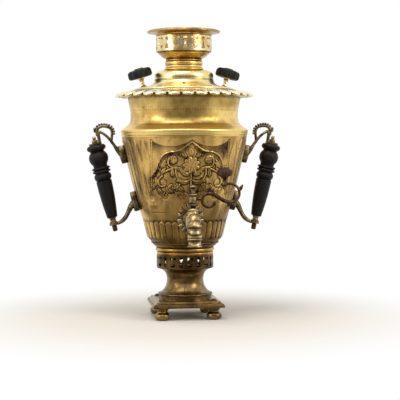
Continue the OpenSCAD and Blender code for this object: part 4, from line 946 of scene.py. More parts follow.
# %% Wall of the urn
SHOULDER_Z = BELT_Z + 11.2
NECK_Z = SHOULDER_Z + 14
lift = [WALL_Z + 0.86 * i for i in range(140) if WALL_Z + 0.86 * i < BELT_Z - 0.3]
outer = ([(wall_r(z), z) for z in lift]
         + [(BELT_R - 0.2, BELT_Z), (BELT_R + 0.25, BELT_Z + 0.5), (BELT_R + 0.6, BELT_Z + 2.4)]
         + arc(BELT_R - 1.9, BELT_Z + 6.2, 3.2, -36, 62, 12)
         + bez((BELT_R - 1.2, BELT_Z + 9.6), (BELT_R - 6.8, SHOULDER_Z + 2.4), (NECK_R, SHOULDER_Z + 4.9),
               (NECK_R, NECK_Z), 18)
         + bez((NECK_R, NECK_Z), (NECK_R, NECK_Z + 11.2), (MOUTH_R - 1.8, MOUTH_Z - 9.8),
               (MOUTH_R, MOUTH_Z), 26)[1:])
inner = ([(MOUTH_R - SHEET, MOUTH_Z)]
         + bez((MOUTH_R - 3.2, MOUTH_Z - 9.8), (NECK_R - SHEET, NECK_Z + 11.2),
               (NECK_R - SHEET, NECK_Z), (NECK_R - SHEET, SHOULDER_Z + 5), 8)
         + [(BELT_R - 8, SHOULDER_Z + 1.5), (BELT_R - 3, BELT_Z + 7), (BELT_R - 1.9, BELT_Z)]
         + [(wall_r(z) - SHEET, z) for z in (232, 202, 172, 150, WALL_Z)])
bm = bmesh.new()
verts = [bm.verts.new((x, 0, z)) for x, z in outer + inner]
edges = [bm.edges.new((v, verts[i - 1])) for i, v in enumerate(verts)]
ring = verts + edges
for sweep, steps in ((225, 210), (90, 190), (45, 42)):
    ring = bmesh.ops.spin(bm, geom=ring, cent=(0, 0, 0), axis=(0, 0, 1), angle=math.radians(sweep),
                          steps=steps, use_duplicate=False)["geom_last"]
bmesh.ops.remove_doubles(bm, verts=bm.verts, dist=0.01)
SHANK_Z = SEAM_Z + 36
for v in bm.verts:
    if v.co.z < BELT_Z - 1 and v.co.xy.length > wall_r(v.co.z) - 0.5:
        rise = chased(v.co)[0] if v.co.z > WALL_Z + 7 else 0
        v.co.xy *= 1 + rise / v.co.xy.length
swell_lobes(bm, WALL_Z, WALL_Z + 7)
hole = [f for f in bm.faces if f.calc_center_median().y < 0
        and math.hypot(f.calc_center_median().x, f.calc_center_median().z - SHANK_Z) < 6.3]
bmesh.ops.delete(bm, geom=hole, context="FACES")
rims = [e for e in bm.edges if e.is_boundary]
bmesh.ops.bridge_loops(bm, edges=rims)
wall = piece("chased_wall", bm, chased_brass, "samovar", "body_shell", hollow=wall_dirt_and_painted_light)
wall.data.materials.append(golden_spun_brass)
for face in wall.data.polygons:
    if face.center.z > (BELT_Z - 0.6) * MM:
        face.material_index = 1

# %% [markdown]
# ## Rim, lid and flue
# The rim is spun with a thick bead at its edge, then cut and filed into scallops. Each scallop is
# part of a circle about its own centre, so the edge is drawn in to that circle's reach. Its lower lip
# hangs like a tongue and lifts towards the notch. Shade is painted dark in the notches, most at
# their foot, and under the edge.

# %% Scalloped rim
RIM_Z = MOUTH_Z + 10
SCALLOPS, SCALLOP_TURN = 31, -3.42
SCALLOP_R, SCALLOP_AT = 10.165, 85.735


def scallop_part(co):
    """Degrees from the middle of the nearest scallop."""
    pitch = 360 / SCALLOPS
    return (round_from_front(co) - SCALLOP_TURN + pitch / 2) % pitch - pitch / 2


outer = (bez((70.5, 10), (78, 9.7), (87.6, 7.6), (93.2, 4.7), 14)
         + [(94.4, 4.3), (95.2, 3.7), (95.6, 2.9), (95.8, 1.9), (95.7, 1), (95.2, 0.4), (94.2, 0),
            (93.2, -0.1)])
under = bez((92.6, 0.4), (89.6, 2.7), (85.2, 1.1), (78.4, 0), 12)
socket = [(75.6, 0), (75.6, 6.2), (68, 6.2), (68, 0.6), (66.2, 0.6), (66, 9.4), (66.6, 10)]
bm = turned(outer + under + socket, SCALLOPS * 18, MOUTH_Z)
for v in bm.verts:
    r = v.co.xy.length
    if r > 80:
        off = math.radians(scallop_part(v.co))
        reach = SCALLOP_AT * math.cos(off) + math.sqrt(SCALLOP_R ** 2 - (SCALLOP_AT * math.sin(off)) ** 2)
        t = (r - 80) / 15.8
        v.co.xy *= (80 + t * (reach - 80)) / r
        beside = min(1, abs(off) / math.radians(5.8)) ** 2
        v.co.z += t * t * beside * (0.2 if v.co.z > MOUTH_Z + 2.6 else 2.6)


def rim_dirt_and_painted_shade(co):
    """Painted shade in the notches and under the edge, and a dark line where the lid beds;
    the faces of the tongues and the top stay bright.
    """
    r, off = co.xy.length, abs(scallop_part(co))
    notch = max(0, off - 4.6) * (r > 88.5) * (1 if co.z < MOUTH_Z + 4.4 else 0.35)
    under = 0.35 * (co.z < MOUTH_Z + 2.4 and 80 < r < 92.5)
    face = 1.1 * ((off < 4.4 and r > 92) or (r > 72 and co.z > MOUTH_Z + 4.4))
    return min(1, notch + under - face + 0.5 * band(r, 69.5, 1.2))


piece("scalloped_rim_spun", bm, pale_spun_brass, "samovar", "scalloped_rim", hollow=rim_dirt_and_painted_shade)

# %% [markdown]
# The lid is spun in one: a rolled edge that beds on the rim, a long slope, a raised collar with a
# round shoulder round the flue. A plain ring, soldered on below, keeps it centred in the mouth. One
# small steam hole is drilled in the slope towards the front. It is cut with a fine cylinder.

# %% Lid
LID_H = 27
LID_STEP = 13.5
LID_TOP = RIM_Z + LID_H


def lid_slope(t):
    """Point on the lid's slope, 0 at the collar and 1 at the edge."""
    w = ((1 - t) ** 3, 3 * t * (1 - t) ** 2, 3 * t * t * (1 - t), t ** 3)
    run = ((41.3, LID_STEP), (42.5, 0.27 * LID_H), (54.8, 0.12 * LID_H), (65.8, 2.2))
    return tuple(sum(k * p[j] for k, p in zip(w, run)) for j in (0, 1))


slope = [lid_slope(i / 26) for i in range(27)]
outer = ([(28.3, 25.8), (28.5, LID_H)] + bez((30.3, LID_H + 0.05), (38, 27), (40.6, 24), (41, 19), 18)
         + [(41, 16), (40.8, 14.6), (41.1, 13.9)] + slope[1:]
         + [(66.1, 2.6)] + arc(67.5, 1.35, 1.3, 100, -88, 9) + [(64.2, 0), (63.8, 0.3)])
inner = ([(x - 1.2 * t / 26 - 0.3, z - 1.5) for t, (x, z) in enumerate(slope)][::-1][2:]
         + bez((39.4, 18.6), (39, 23.4), (37, 25.4), (30.3, 25.4), 10))
bm = turned(outer + inner, 192, RIM_Z)
STEAM_R = 2
STEAM_TURN = Matrix.Rotation(math.radians(-7), 4, "Z")
steam_out, steam_up = lid_slope(0.35)
steam = bmesh.new()
bmesh.ops.create_cone(steam, cap_ends=True, segments=32, radius1=STEAM_R, radius2=STEAM_R, depth=14,
                      matrix=STEAM_TURN @ Matrix.Translation((0, -steam_out, RIM_Z + steam_up)))


def cut_away(bm, cutter):
    """Cut one closed bmesh out of another and return what is left."""
    halves = []
    for name, part in (("blank", bm), ("cutter", cutter)):
        bmesh.ops.recalc_face_normals(part, faces=part.faces)
        mesh = bpy.data.meshes.new(name)
        part.to_mesh(mesh)
        part.free()
        halves.append(bpy.data.objects.new(name, mesh))
        scene.collection.objects.link(halves[-1])
    knife = halves[0].modifiers.new("cut", "BOOLEAN")
    knife.object = halves[1]
    knife.operation = "DIFFERENCE"
    knife.solver = "EXACT"
    left = bmesh.new()
    left.from_object(halves[0], bpy.context.evaluated_depsgraph_get())
    for half in halves:
        mesh = half.data
        bpy.data.objects.remove(half)
        bpy.data.meshes.remove(mesh)
    return left


steam_place = STEAM_TURN @ Vector((0, -steam_out, 0))


def lid_dirt_and_painted_light(co):
    """Dirt at the step, at the edge and round the steam hole; the slope beyond the collar is kept
    bright, partly as wear and partly as painted light from above.
    """
    ring = band(co.z - RIM_Z, 14, 1.3) * (co.xy.length < 43)
    edge = 0.8 * band(co.z - RIM_Z, 0.3, 0.8)
    rubbed = 0.9 * (46 < co.xy.length and co.z > RIM_Z + 0.8)
    return min(1, 0.85 * ring + edge + 0.7 * max(0, 1.9 - (co.xy - steam_place.xy).length / STEAM_R) - rubbed)


piece("spun_lid", cut_away(bm, steam), buffed_brass_painted_toplit, "lid", "lid_shell", hollow=lid_dirt_and_painted_light)

skirt = [(65.2, 0), (65.4, -0.2), (65.4, -7.7), (65.1, -8), (64.1, -8), (63.8, -7.7), (63.8, -0.2), (64, 0)]
piece("lid_skirt_ring", turned(skirt, 160, RIM_Z), brown_spun_brass, "lid", "lid_skirt",
      hollow=lambda co: band(co.z, RIM_Z, 1.2))

# %% [markdown]
# The flue ends in a turned collar: a bead, a hollow neck with two fine lines and a broad polished
# band. The teapot stand drops into it by a short spigot and rises as a bowl, a pierced cup and a wide
# brim with a rolled wire edge.

# %% Flue collar
COLLAR_Z = LID_TOP + 0.5
outer = ([(25, 0), (26.6, 0.1)] + arc(26.4, 1.4, 1.25, -70, 70, 8)
         + [(26, 2.8), (25.9, 3.1), (26.2, 3.5), (25.8, 3.9)]
         + bez((25.6, 4), (24.9, 4.9), (24.8, 5.7), (25, 6.6), 8) + [(25.2, 6.7), (25.2, 7), (25.8, 7.3)]
         + bez((25.9, 7.5), (26.6, 8.4), (26.4, 11.2), (25.4, 12), 10)
         + [(24.6, 12.4), (24.2, 12.5), (22.9, 12.5), (22.4, 12), (22.4, 0)])
piece("turned_flue_collar", turned(outer, 128, COLLAR_Z), golden_spun_brass, "samovar", "flue_collar",
      hollow=lambda co: (sum(0.9 * band(co.z - COLLAR_Z, z, 0.6) for z in (0.1, 3, 6.8, 12.3))
                         - 0.6 * (co.z < COLLAR_Z + 6)))

# %% Bowl of the stand
STAND_Z = COLLAR_Z + 12.5
CUP_Z = STAND_Z + 13.5
BRIM_Z = CUP_Z + 20.5
outer = ([(22.1, -10), (22.1, 0), (24.9, 0)] + arc(24.5, 1.3, 1.1, -72, 70, 6) + [(24.4, 2.9), (24.9, 3.5)]
         + bez((24.9, 3.7), (28.4, 4.3), (30.6, 6.2), (32.6, 8.2), 10)
         + bez((32.6, 8.2), (34.6, 9.8), (35.7, 10.4), (35.2, 11.9), 8)[1:]
         + [(35.6, 12.3), (37.8, 12.6), (38.2, 12.9), (38.1, 13.5)])
inner = ([(34.1, 13.5), (34.1, 12.3)] + bez((31.8, 10.8), (29.8, 8.4), (26, 6.4), (21.2, 5.2), 10)
         + [(20.6, 4), (20.6, -10)])
piece("spun_stand_bowl", turned(outer + inner, 128, STAND_Z), toned_spun_brass, "stand", "stand_bowl",
      hollow=lambda co: min(1, sum(band(co.z - STAND_Z, z, w) for z, w in
                                   ((0, 0.6), (3, 1.2), (11.9, 1.1)))))

# %% Brim of the stand
outer = ([(36.9, 0), (38.5, 0), (38.5, 1.4)] + bez((38.5, 1.6), (39.5, 4), (43.8, 4.2), (49.2, 5.3), 16)
         + arc(49.5, 6.6, 1.3, -84, 84, 10) + [(49.2, 7.9), (48.6, 8.2)]
         + bez((47.6, 8.6), (47, 9), (45.8, 9), (44.6, 9), 4)
         + bez((44.6, 9), (41.6, 6.6), (37.2, 5), (36.9, 2), 12)[1:])
# The band at the foot of the brim, where it overhangs the pierced cup, is painted shadow; a dark line also
# runs under the rolled wire.
piece("spun_stand_brim", turned(outer, 160, BRIM_Z), toned_spun_brass, "stand", "stand_brim",
      hollow=lambda co: min(1, 0.9 * band(co.z - BRIM_Z, 0.6, 1.4)
                            + 0.7 * max(0, 1 - math.hypot(co.xy.length - 48.6, co.z - BRIM_Z - 5.1) / 1.2)))

# %% [markdown]
# The lid is lifted by two black knobs on turned stems. The stem leans out, square to the slope. The
# knob is turned as a thick disc with a raised middle, then fluted round its edge with a gouge, and the
# arrises are rubbed round by hands.

# %% Stems and fluted knobs
STEM_AT = lid_slope(0.7)
STEM_H = 12.5
KNOB_R, KNOB_T = 17, 12.4


def fluted(r, t, rise, flutes, top):
    """Turn and flute a knob of radius r and thickness t, blind below, with a raised middle."""
    edge = ([(1.8, 0), (0.5 * r, 0)] + bez((0.5 * r, 0), (0.9 * r, 0), (0.98 * r, 0.04 * t), (r, 0.3 * t), 9)
            + bez((r, 0.3 * t), (1.0 * r, 0.86 * t), (0.96 * r, 0.96 * t), (0.62 * r, t), 11)[1:]
            + bez((0.6 * r, t), (0.44 * r, t), (top, t + 0.3), (top, t + rise - 0.5), 6)
            + [(0.93 * top, t + rise - 0.1), (0.8 * top, t + rise), (0, t + rise)])
    bm = turned(edge + [(0, 0.7 * t + 0.5), (1.8, 0.7 * t + 0.5)], flutes * 20)
    for v in bm.verts:
        radius = v.co.xy.length
        if radius > 0.5 * r:
            pitch = 360 / flutes
            off = math.radians(round_from_front(v.co) % pitch - pitch / 2) * r
            cut = max(0, 1 - (off / (0.24 * r)) ** 2) ** 0.8 * 0.1 * r * ((radius / r - 0.5) / 0.5) ** 1.5
            v.co.xy *= 1 - cut / radius
    return bm


stem = ([(0, -5), (1.3, -5), (1.6, -4.6), (1.6, 0), (4.1, 0), (4.4, 0.5), (4.3, 1.6), (3.8, 2.2)]
        + bez((3.6, 2.4), (1.8, 2.9), (2.2, 7.9), (3, 9.9), 14) + arc(2.9, 11, 0.9, -80, 80, 6)
        + [(2.7, 12.1), (3.2, 12.4), (5, 12.6), (5.2, 13), (5.2, 13.9), (1.6, 13.9),
           (1.6, 13.9 + 7.5), (1.2, 13.9 + 7.7), (0, 13.9 + 7.7)])
for side, sign in SIDES:
    frame_up = (ON_AXIS @ Matrix.Translation((sign * STEM_AT[0], 0, RIM_Z + STEM_AT[1] - 0.4))
                @ Matrix.Rotation(math.radians(sign * 16), 4, "Y"))
    piece(f"turned_lid_stem_{side}", turned(stem, 48), pale_spun_brass, "lid", f"lid_stem_{side}",
          frame_up,
          hollow=lambda co: sum(0.9 * band(co.z, z, 0.7) for z in (0, 2.4, 10, 12.2)))
    piece(f"fluted_lid_knob_{side}", fluted(KNOB_R, KNOB_T, 1.4, 10, 6.3), black_stained_birch, "lid",
          f"lid_knob_{side}", frame_up @ Matrix.Translation((0, 0, 1.4 + STEM_H)))

# %% [markdown]
# ## Handles
# A handle is a wooden grip on an iron rod, clamped between two cast brackets. The grip is turned from
# one stick: a shaft that swells upwards, a round bead, two sharp rings, a ball and a rolled top. Brass
# fittings close it: a ferrule below, a nut with a ball on top and a plain nut under the lower eye.

# %% Frame of a handle
LOWER_FOOT = (wall_r(SEAM_Z + 57), SEAM_Z + 57)
UPPER_FOOT = (wall_r(SEAM_Z + 122), SEAM_Z + 122)
LOWER_EYE = (98.9, LOWER_FOOT[1] - 31.8)
LEAN = 12.6
GRIP_L = 102.5
GRIP_S = 1.8 + 7.2
TOP_EYE_S = GRIP_S + GRIP_L
NUT_S = TOP_EYE_S + 3
UPPER_EYE = (LOWER_EYE[0] + (TOP_EYE_S + 1.5) * math.sin(math.radians(LEAN)),
             LOWER_EYE[1] + (TOP_EYE_S + 1.5) * math.cos(math.radians(LEAN)))


def on_side(sign):
    """Frame of one side of the urn: X points out along the handles."""
    return ON_AXIS if sign > 0 else ON_AXIS @ Matrix.Rotation(math.pi, 4, "Z")


def on_handle(sign):
    """Frame up the handle's axis, from the middle of the lower eye."""
    return (on_side(sign) @ Matrix.Translation((LOWER_EYE[0], 0, LOWER_EYE[1]))
            @ Matrix.Rotation(math.radians(LEAN), 4, "Y"))


bead_s, ring_s, ball_s = 0.565 * GRIP_L, 0.638 * GRIP_L, 0.82 * GRIP_L
shaft = ([(2.3, 0), (6.7, 0), (7.2, 0.6)]
         + bez((7.2, 1), (9.4, 16.4), (10.6, 30.8), (10.8, bead_s - 5.9), 24)[1:]
         + [(10.2, bead_s - 5.3)] + arc(5.8, bead_s, 6.2, -55, 52, 16) + [(9.6, ring_s - 2)]
         + arc(10.8, ring_s, 1.7, -76, 76, 8) + [(10.5, ring_s + 2.2)]
         + arc(10.8, ring_s + 4.4, 1.7, -76, 78, 8)
         + [(9.5, ring_s + 6.4)] + arc(1.2, ball_s, 12.2, -43, 44, 26)
         + [(9.4, ball_s + 8.8)] + arc(9.3, GRIP_L - 3.9, 3.9, -72, 82, 12) + [(9.4, GRIP_L), (2.3, GRIP_L)])


ferrule = ([(2.1, 0), (5.2, 0), (5.6, 0.4), (5.6, 0.9), (5.1, 1.4), (4.4, 1.7)]
           + bez((4.2, 2), (3.6, 4), (4.6, 5), (4.8, 6.2), 8) + [(5, 6.4), (5, 7), (4.7, 7.2), (2.1, 7.2)])
top_nut = ([(2.1, 0), (4, 0), (4.3, 0.4), (4.3, 3.4), (3.8, 4), (2.9, 4.3)]
           + arc(0, 6.6, 2.75, -50, 90, 14) + [(0, 4.2), (2.1, 4.2)])
low_nut = [(0, -8.6), (2.3, -8.6), (2.9, -8.2), (3.4, -7.4), (3.4, -1), (3.1, -0.3), (2.8, 0), (2.1, 0),
           (2.1, -7.2), (0, -7.2)]
for side, sign in SIDES:
    for name, outline, stop, finish, place, slot, steps, dirt_and_shade in (
            ("turned_grip", shaft, "grip", black_stained_birch, GRIP_S, "black_wood", 72, None),
            ("turned_ferrule", ferrule, "ferrule", worn_cast_brass, 1.8, "tap_brass", 48,
             lambda co: 0.9 * band(co.z, 1.9, 0.9) + 0.8 * band(co.z, 6.3, 0.4)),
            ("ball_nut", top_nut, "dome_nut", worn_cast_brass, NUT_S, "tap_brass", 40,
             lambda co: 0.9 * band(co.z, 4.3, 0.6)),
            ("plain_nut", low_nut, "bottom_nut", brown_cast_bronze, -1.8, "dark_brass", 40, None)):
        piece(f"{name}_{side}", turned(outline, steps), finish, "samovar", f"{stop}_{side}",
              on_handle(sign) @ Matrix.Translation((0, 0, place)), hollow=dirt_and_shade)

# %% [markdown]
# The brackets are sand castings in a darker bronze, left as they came from the mould: a notched
# pad with a rib on the wall, a swelling arm, and on the upper one a loop with beads along its back
# that curls in over the grip. Pad, arm, loop, beads and eye are one casting each.

# %% Pads and eyes
WALL_LEAN = math.atan((BELT_R - CUP_R) / WALL_H)


def wall_pad(bm, foot, long, wide, thick):
    """Cast the pad that sits on the wall: a block with rounded arrises, notched sides and a rib."""
    bmesh.ops.create_cube(bm, size=1, matrix=Matrix.Diagonal((thick, wide, long, 1)))
    bmesh.ops.bevel(bm, geom=bm.edges[:], affect="EDGES", offset=1.3, segments=3, profile=0.5, material=-1)
    for _ in range(3):
        coarse = [e for e in bm.edges if e.calc_length() > 2]
        bmesh.ops.subdivide_edges(bm, edges=coarse, cuts=1, use_grid_fill=True)
    for v in bm.verts:
        d, s, t = v.co.x / thick + 0.5, 2 * v.co.y / wide, v.co.z / long + 0.5
        rib = 1.1 * math.exp(-(s / 0.2) ** 2) - 0.7 * math.sin(math.pi * t)
        v.co.y *= (1 - 0.4 * abs(2 * t - 1) ** 3) * (1 - 0.1 * d * abs(math.sin(4 * math.pi * t)))
        v.co.x = d * thick * (1 - 0.25 * s ** 4) - d ** 3 * rib
    bm.transform(Matrix.Translation((foot[0] + 0.2, 0, foot[1])) @ Matrix.Rotation(WALL_LEAN, 4, "Y"))
    for v in bm.verts:
        skin = wall_r(v.co.z)
        if v.co.xy.length < skin + 0.15:
            v.co.xy *= (skin + 0.15) / v.co.xy.length


def ring_eye(bm, s, t, radius):
    """Cast the eye that the rod passes through, s up the handle's axis."""
    run = ([(2.1, 0), (radius - 0.6, 0), (radius, 0.5), (radius, t - 0.5), (radius - 0.6, t)]
           + [(radius - 1.6, t), (2.1, t)])
    turn(bm, run, 48, Matrix.Translation((LOWER_EYE[0], 0, LOWER_EYE[1]))
         @ Matrix.Rotation(math.radians(LEAN), 4, "Y") @ Matrix.Translation((0, 0, s)))


def from_point(base, *offsets):
    """Points given by their offsets from a base point."""
    return [(base[0] + x, base[1] + z) for x, z in offsets]


# %% Upper and lower brackets
arm = (bez(*from_point(UPPER_FOOT, (3, -2), (15, 5)), *from_point(UPPER_EYE, (-24, 8), (-8, 16)), 22))
stub = (bez(*from_point(UPPER_EYE, (-8, 16), (-4.5, 18), (-3.6, 15), (-4.6, 10)), 9)
        + bez(*from_point(UPPER_EYE, (-4.6, 10), (-5, 7), (-6.2, 5), (-6.4, 1)), 6)[1:])
loop = (bez(*from_point(UPPER_EYE, (-22.5, 2), (-21.5, 9), (-26.5, 20.5), (-18, 23.3)), 16)
        + bez(*from_point(UPPER_EYE, (-18, 23.3), (-12, 25.4), (-5.5, 25.4), (-2.6, 20)), 12)[1:]
        + bez(*from_point(UPPER_EYE, (-2.6, 20), (-1.6, 17.6), (-2, 15), (-4, 13.8)), 6)[1:])
low_arm = bez(*from_point(LOWER_FOOT, (2, 1), (14, -9)), *from_point(LOWER_EYE, (-21, 5), (-4.6, 0.4)), 24)
low_curl = bez(*from_point(LOWER_FOOT, (5, 0), (8, 4), (7.8, 8), (5.6, 11.4)), 10)


def at_wall(co):
    """Painted shade where a pad meets the wall, and bright metal at the lower eye, where the hand rests."""
    return max(0, 1.4 - (co.xy.length - wall_r(co.z)) / 2) - 0.9 * (co.z < LOWER_EYE[1] + 5)


for side, sign in SIDES:
    bm = bmesh.new()
    wall_pad(bm, UPPER_FOOT, 25, 15, 8)
    bar(bm, arm, lambda t: 5.4 - 3.6 * min(1, t / 0.45) ** 0.8 + 0.3 * math.sin(math.pi * t), 1.25)
    bar(bm, stub, lambda t: 1.9 + 0.5 * math.sin(math.pi * t), 1.2)
    bar(bm, loop, lambda t: 1.9 + 0.9 * t ** 4, 1.25)
    for i in range(8, 32, 2):
        d = Vector(loop[i + 1]) - Vector(loop[i - 1])
        out = Vector((-d.y, d.x)).normalized() * 2.9
        bmesh.ops.create_uvsphere(bm, u_segments=14, v_segments=10, radius=1.7,
                                  matrix=Matrix.Translation((loop[i][0] + out.x, 0, loop[i][1] + out.y)))
    for x, z, radius in ((0.2, 20.4, 2.6), (-3.2, 13.2, 3)):
        bmesh.ops.create_uvsphere(bm, u_segments=18, v_segments=12, radius=radius,
                                  matrix=Matrix.Translation((UPPER_EYE[0] + x, 0, UPPER_EYE[1] + z)))
    ring_eye(bm, TOP_EYE_S, 3, 9)
    piece(f"cast_upper_bracket_{side}", bm, grey_cast_bronze, "samovar", f"upper_bracket_{side}",
          on_side(sign), crease=50, hollow=at_wall)
    bm = bmesh.new()
    wall_pad(bm, LOWER_FOOT, 27.5, 14, 7.4)
    bar(bm, low_arm, lambda t: 4.6 - 2.3 * t ** 0.7 + 0.4 * math.sin(2 * math.pi * t) ** 2, 1.15)
    bar(bm, low_curl, lambda t: 2.4 - 0.7 * t, 1.3)
    ring_eye(bm, -1.8, 3.6, 6.2)
    piece(f"cast_lower_bracket_{side}", bm, grey_cast_bronze, "samovar", f"lower_bracket_{side}",
          on_side(sign), crease=50, hollow=at_wall)

# %% [markdown]
# ## Tap and key
# The tap is cast in a paler brass that hands keep bright. A rosette of sixteen petals backs it. The
# barrel tapers to a collar, the spout bends down under two ridges like the hood of a snake, and the
# mouth flares. Everything here is measured from the point where the key's axis crosses the shank.

# %% Rosette behind the tap
TAP_OUT = 92
TAP = ON_AXIS @ Matrix.Translation((0, -TAP_OUT, SHANK_Z))
PETALS = 16
ROSETTE_ACROSS, ROSETTE_UP = 17.75, 23


def petal_part(co):
    """0 on the ridge of a petal, 1 in the groove beside it."""
    a = math.degrees(math.atan2(co.y / ROSETTE_UP, co.x / ROSETTE_ACROSS))
    pitch = 360 / PETALS
    return abs((a % pitch) - pitch / 2) / (pitch / 2)


bm = bmesh.new()
turn(bm, [(6.2, 0), (6.2, 6.4), (9.2, 6.4), (10.2, 5.9), (10.5, 4.4), (10.9, 3.6)]
     + [(10.9 + 6.85 * i / 16, 3.6 + 1.2 * math.sin(math.pi * (0.1 + 0.86 * i / 16))) for i in range(1, 17)]
     + [(ROSETTE_ACROSS, 3), (17.55, 1), (16.85, 0)], PETALS * 14)
for v in bm.verts:
    r = v.co.xy.length
    if r > 10.6:
        a = math.atan2(v.co.y, v.co.x)
        full = 1 / math.hypot(math.cos(a) / ROSETTE_ACROSS, math.sin(a) / ROSETTE_UP)
        out = (r - 10.6) / 7.15
        near = petal_part(v.co)
        v.co.xy *= (10.6 + out * (full * (1 - 0.085 * near ** 4) - 10.6)) / r
        if v.co.z > 1.5:
            v.co.z += (0.7 * (1 - near ** 2) - 1.1 * near ** 6) * min(1, 2.5 * out)
tilt = (Matrix.Translation((0, TAP_OUT - wall_r(SHANK_Z), 0))
        @ Matrix.Rotation(math.pi / 2 + WALL_LEAN, 4, "X"))
rosette_dirt = {}
for v in bm.verts:
    r = v.co.xy.length
    groove = max(0, petal_part(v.co) - 0.7) / 0.26 if r > 11.2 else 0
    v.co = tilt @ v.co
    v.co.y -= TAP_OUT
    if v.co.xy.length < wall_r(SHANK_Z + v.co.z) + 0.15:
        v.co.xy *= (wall_r(SHANK_Z + v.co.z) + 0.15) / v.co.xy.length
    v.co.y += TAP_OUT
    place = tuple(round(c, 2) for c in v.co)
    rosette_dirt[place] = min(1, 1.2 * groove - 0.2 + 0.8 * band(r, 11, 0.9))
piece("petal_rosette", bm, worn_cast_brass, "samovar", "tap_rosette", TAP,
      hollow=lambda co: rosette_dirt.get(tuple(round(c, 2) for c in co), 0.2))

# %% Tap casting
FORWARD = Matrix.Rotation(-math.pi / 2, 4, "Z")
barrel = ([(5, -13), (6.2, -13), (6.6, -12.2), (6.7, -11.4), (8.2, -10.4), (9.4, -9.4), (9.8, -8)]
          + [(9.8, -3), (9.9, 2.6)] + arc(9.1, 2.9, 0.9, 0, 60, 3) + [(8.9, 4.6)]
          + bez((8.7, 5), (7.6, 6.6), (6.6, 8.2), (6.2, 9.6), 8) + [(6.3, 10.1)]
          + arc(6, 11.8, 1.25, -70, 70, 8)
          + [(6.2, 13.2), (6.3, 13.8), (6, 14), (5.08, 14)])
bm = bmesh.new()
turn(bm, barrel, 72)
shank = [(0, 0), (5.6, 0), (5.6, 13.2), (7.2, 13.5), (8.8, 14.2), (9.6, 14.8), (9.6, 16.2),
         (9.2, 16.8), (0, 16.8)]
turn(bm, shank, 56, Matrix.Rotation(-math.pi / 2, 4, "X"))
elbow = [(4 + 12 * math.sin(math.radians(a)), -12 + 12 * math.cos(math.radians(a)))
         for a in range(5, 91, 5)]
tube = [(-7 + 1.2 * i, 0) for i in range(10)] + elbow + [(16, -14), (16, -16), (16, -17.5)]


def hood(t):
    """Radius along the spout: two ridges with a hollow after each, like a hood."""
    ridge = math.exp(-((t - 0.5) / 0.045) ** 2) * 1.3 + math.exp(-((t - 0.83) / 0.05) ** 2) * 1.5
    return 7.75 + 0.45 * t + ridge


spout = bar(bm, tube, hood, 1.0, 40)
bmesh.ops.transform(bm, matrix=FORWARD, verts=spout)
mouth = ([(5.4, 0), (9.1, 0), (9.5, 0.4), (9.6, 1.2), (9.3, 1.8)]
         + bez((9.2, 2), (8.4, 2.8), (8.1, 4), (8.1, 5.6), 8)
         + [(8.1, 8.2), (8.4, 8.6)] + arc(8.4, 10, 1.25, -78, 78, 8)
         + bez((8.6, 11.4), (9.3, 13), (9.4, 16), (8.9, 19), 10) + [(8.4, 21), (5, 21), (5.4, 19)])
turn(bm, mouth, 72, Matrix.Translation((0, -16, -36)))


def tap_dirt(co):
    """Dirt under the ridges of the hood and in the steps of the barrel and the mouth."""
    if co.y < -5 and co.z > -21:
        bend = math.degrees(math.atan2(co.z + 12, -(co.y + 4)))
        front = clamp((-co.y - 12) / 6)
        return min(1, sum(band(bend, a, 7) for a in (56, 33, 4, -22)) * (0.3 + 0.7 * front))
    if co.y < -5:
        return sum(0.9 * band(co.z + 36, z, 0.9) for z in (2.1, 8.3, 11.6))
    return sum(0.8 * band(co.z, z, 0.8) for z in (-11.6, 4.8, 10, 13.4)) + 0.5 * (co.y > 8)


piece("cast_tap", bm, worn_cast_brass, "samovar", "tap_body", TAP, crease=44, hollow=tap_dirt)

# %% [markdown]
# The key is one turned plug with a stack of collars and a finial above the barrel. Its branch is
# cast: a C-scroll, a long S-bend with pointed leaves, and a small turned stem that carries the knob.

# %% Key
plug = ([(0, -13.4), (3.9, -13.4), (4.2, -13), (5, 14), (3.7, 14.3), (3.6, 16.8), (4.5, 17), (4.9, 17.4),
         (4.9, 19.2), (4.5, 19.7), (4.3, 20.2), (5, 20.7), (5.3, 21.4), (5.4, 25), (5.3, 29.2), (4.9, 29.8),
         (5.1, 30.4)]
        + arc(5.3, 32, 1.45, -70, 70, 9) + bez((5.2, 33.6), (4.4, 34.6), (2.4, 34.4), (2.3, 36.6), 8)
        + [(2.2, 38), (2.5, 40.4)] + bez((2.8, 41), (5.6, 41.2), (5, 45), (0, 45), 14))
piece("turned_key_plug", turned(plug, 64), worn_cast_brass, "key", "key_plug", TAP,
      hollow=lambda co: 0.42 + sum(band(co.z, z, 0.8) for z in (14.6, 16.9, 20.1, 29.9, 33.7, 40.7)))


def leaf_blade(bm, base, tip, wide, thick):
    """Cast a pointed leaf in the XZ plane, lens-shaped across, with a groove up its middle."""
    long = math.dist(base, tip)
    lean = math.atan2(tip[0] - base[0], tip[1] - base[1])
    place = Matrix.Translation((base[0], 0, base[1])) @ Matrix.Rotation(lean, 4, "Y")
    for sign in (-1, 1):
        blade = bmesh.ops.create_grid(bm, x_segments=12, y_segments=18, size=0.5)["verts"]
        for v in blade:
            t, s = v.co.y + 0.5, 2 * v.co.x
            half = wide / 2 * math.sin(math.pi * (0.06 + 0.94 * t ** 0.8)) ** 0.8 + 0.05
            belly = thick / 2 * (1 - s * s) * (0.4 + 0.6 * math.sin(math.pi * min(1, t + 0.1)))
            groove = 0.35 * thick / 2 * math.exp(-(s / 0.2) ** 2)
            v.co = Vector((half * s + 0.5 * math.sin(3 * t), sign * (belly - groove), long * t))
        bmesh.ops.transform(bm, matrix=place, verts=blade)


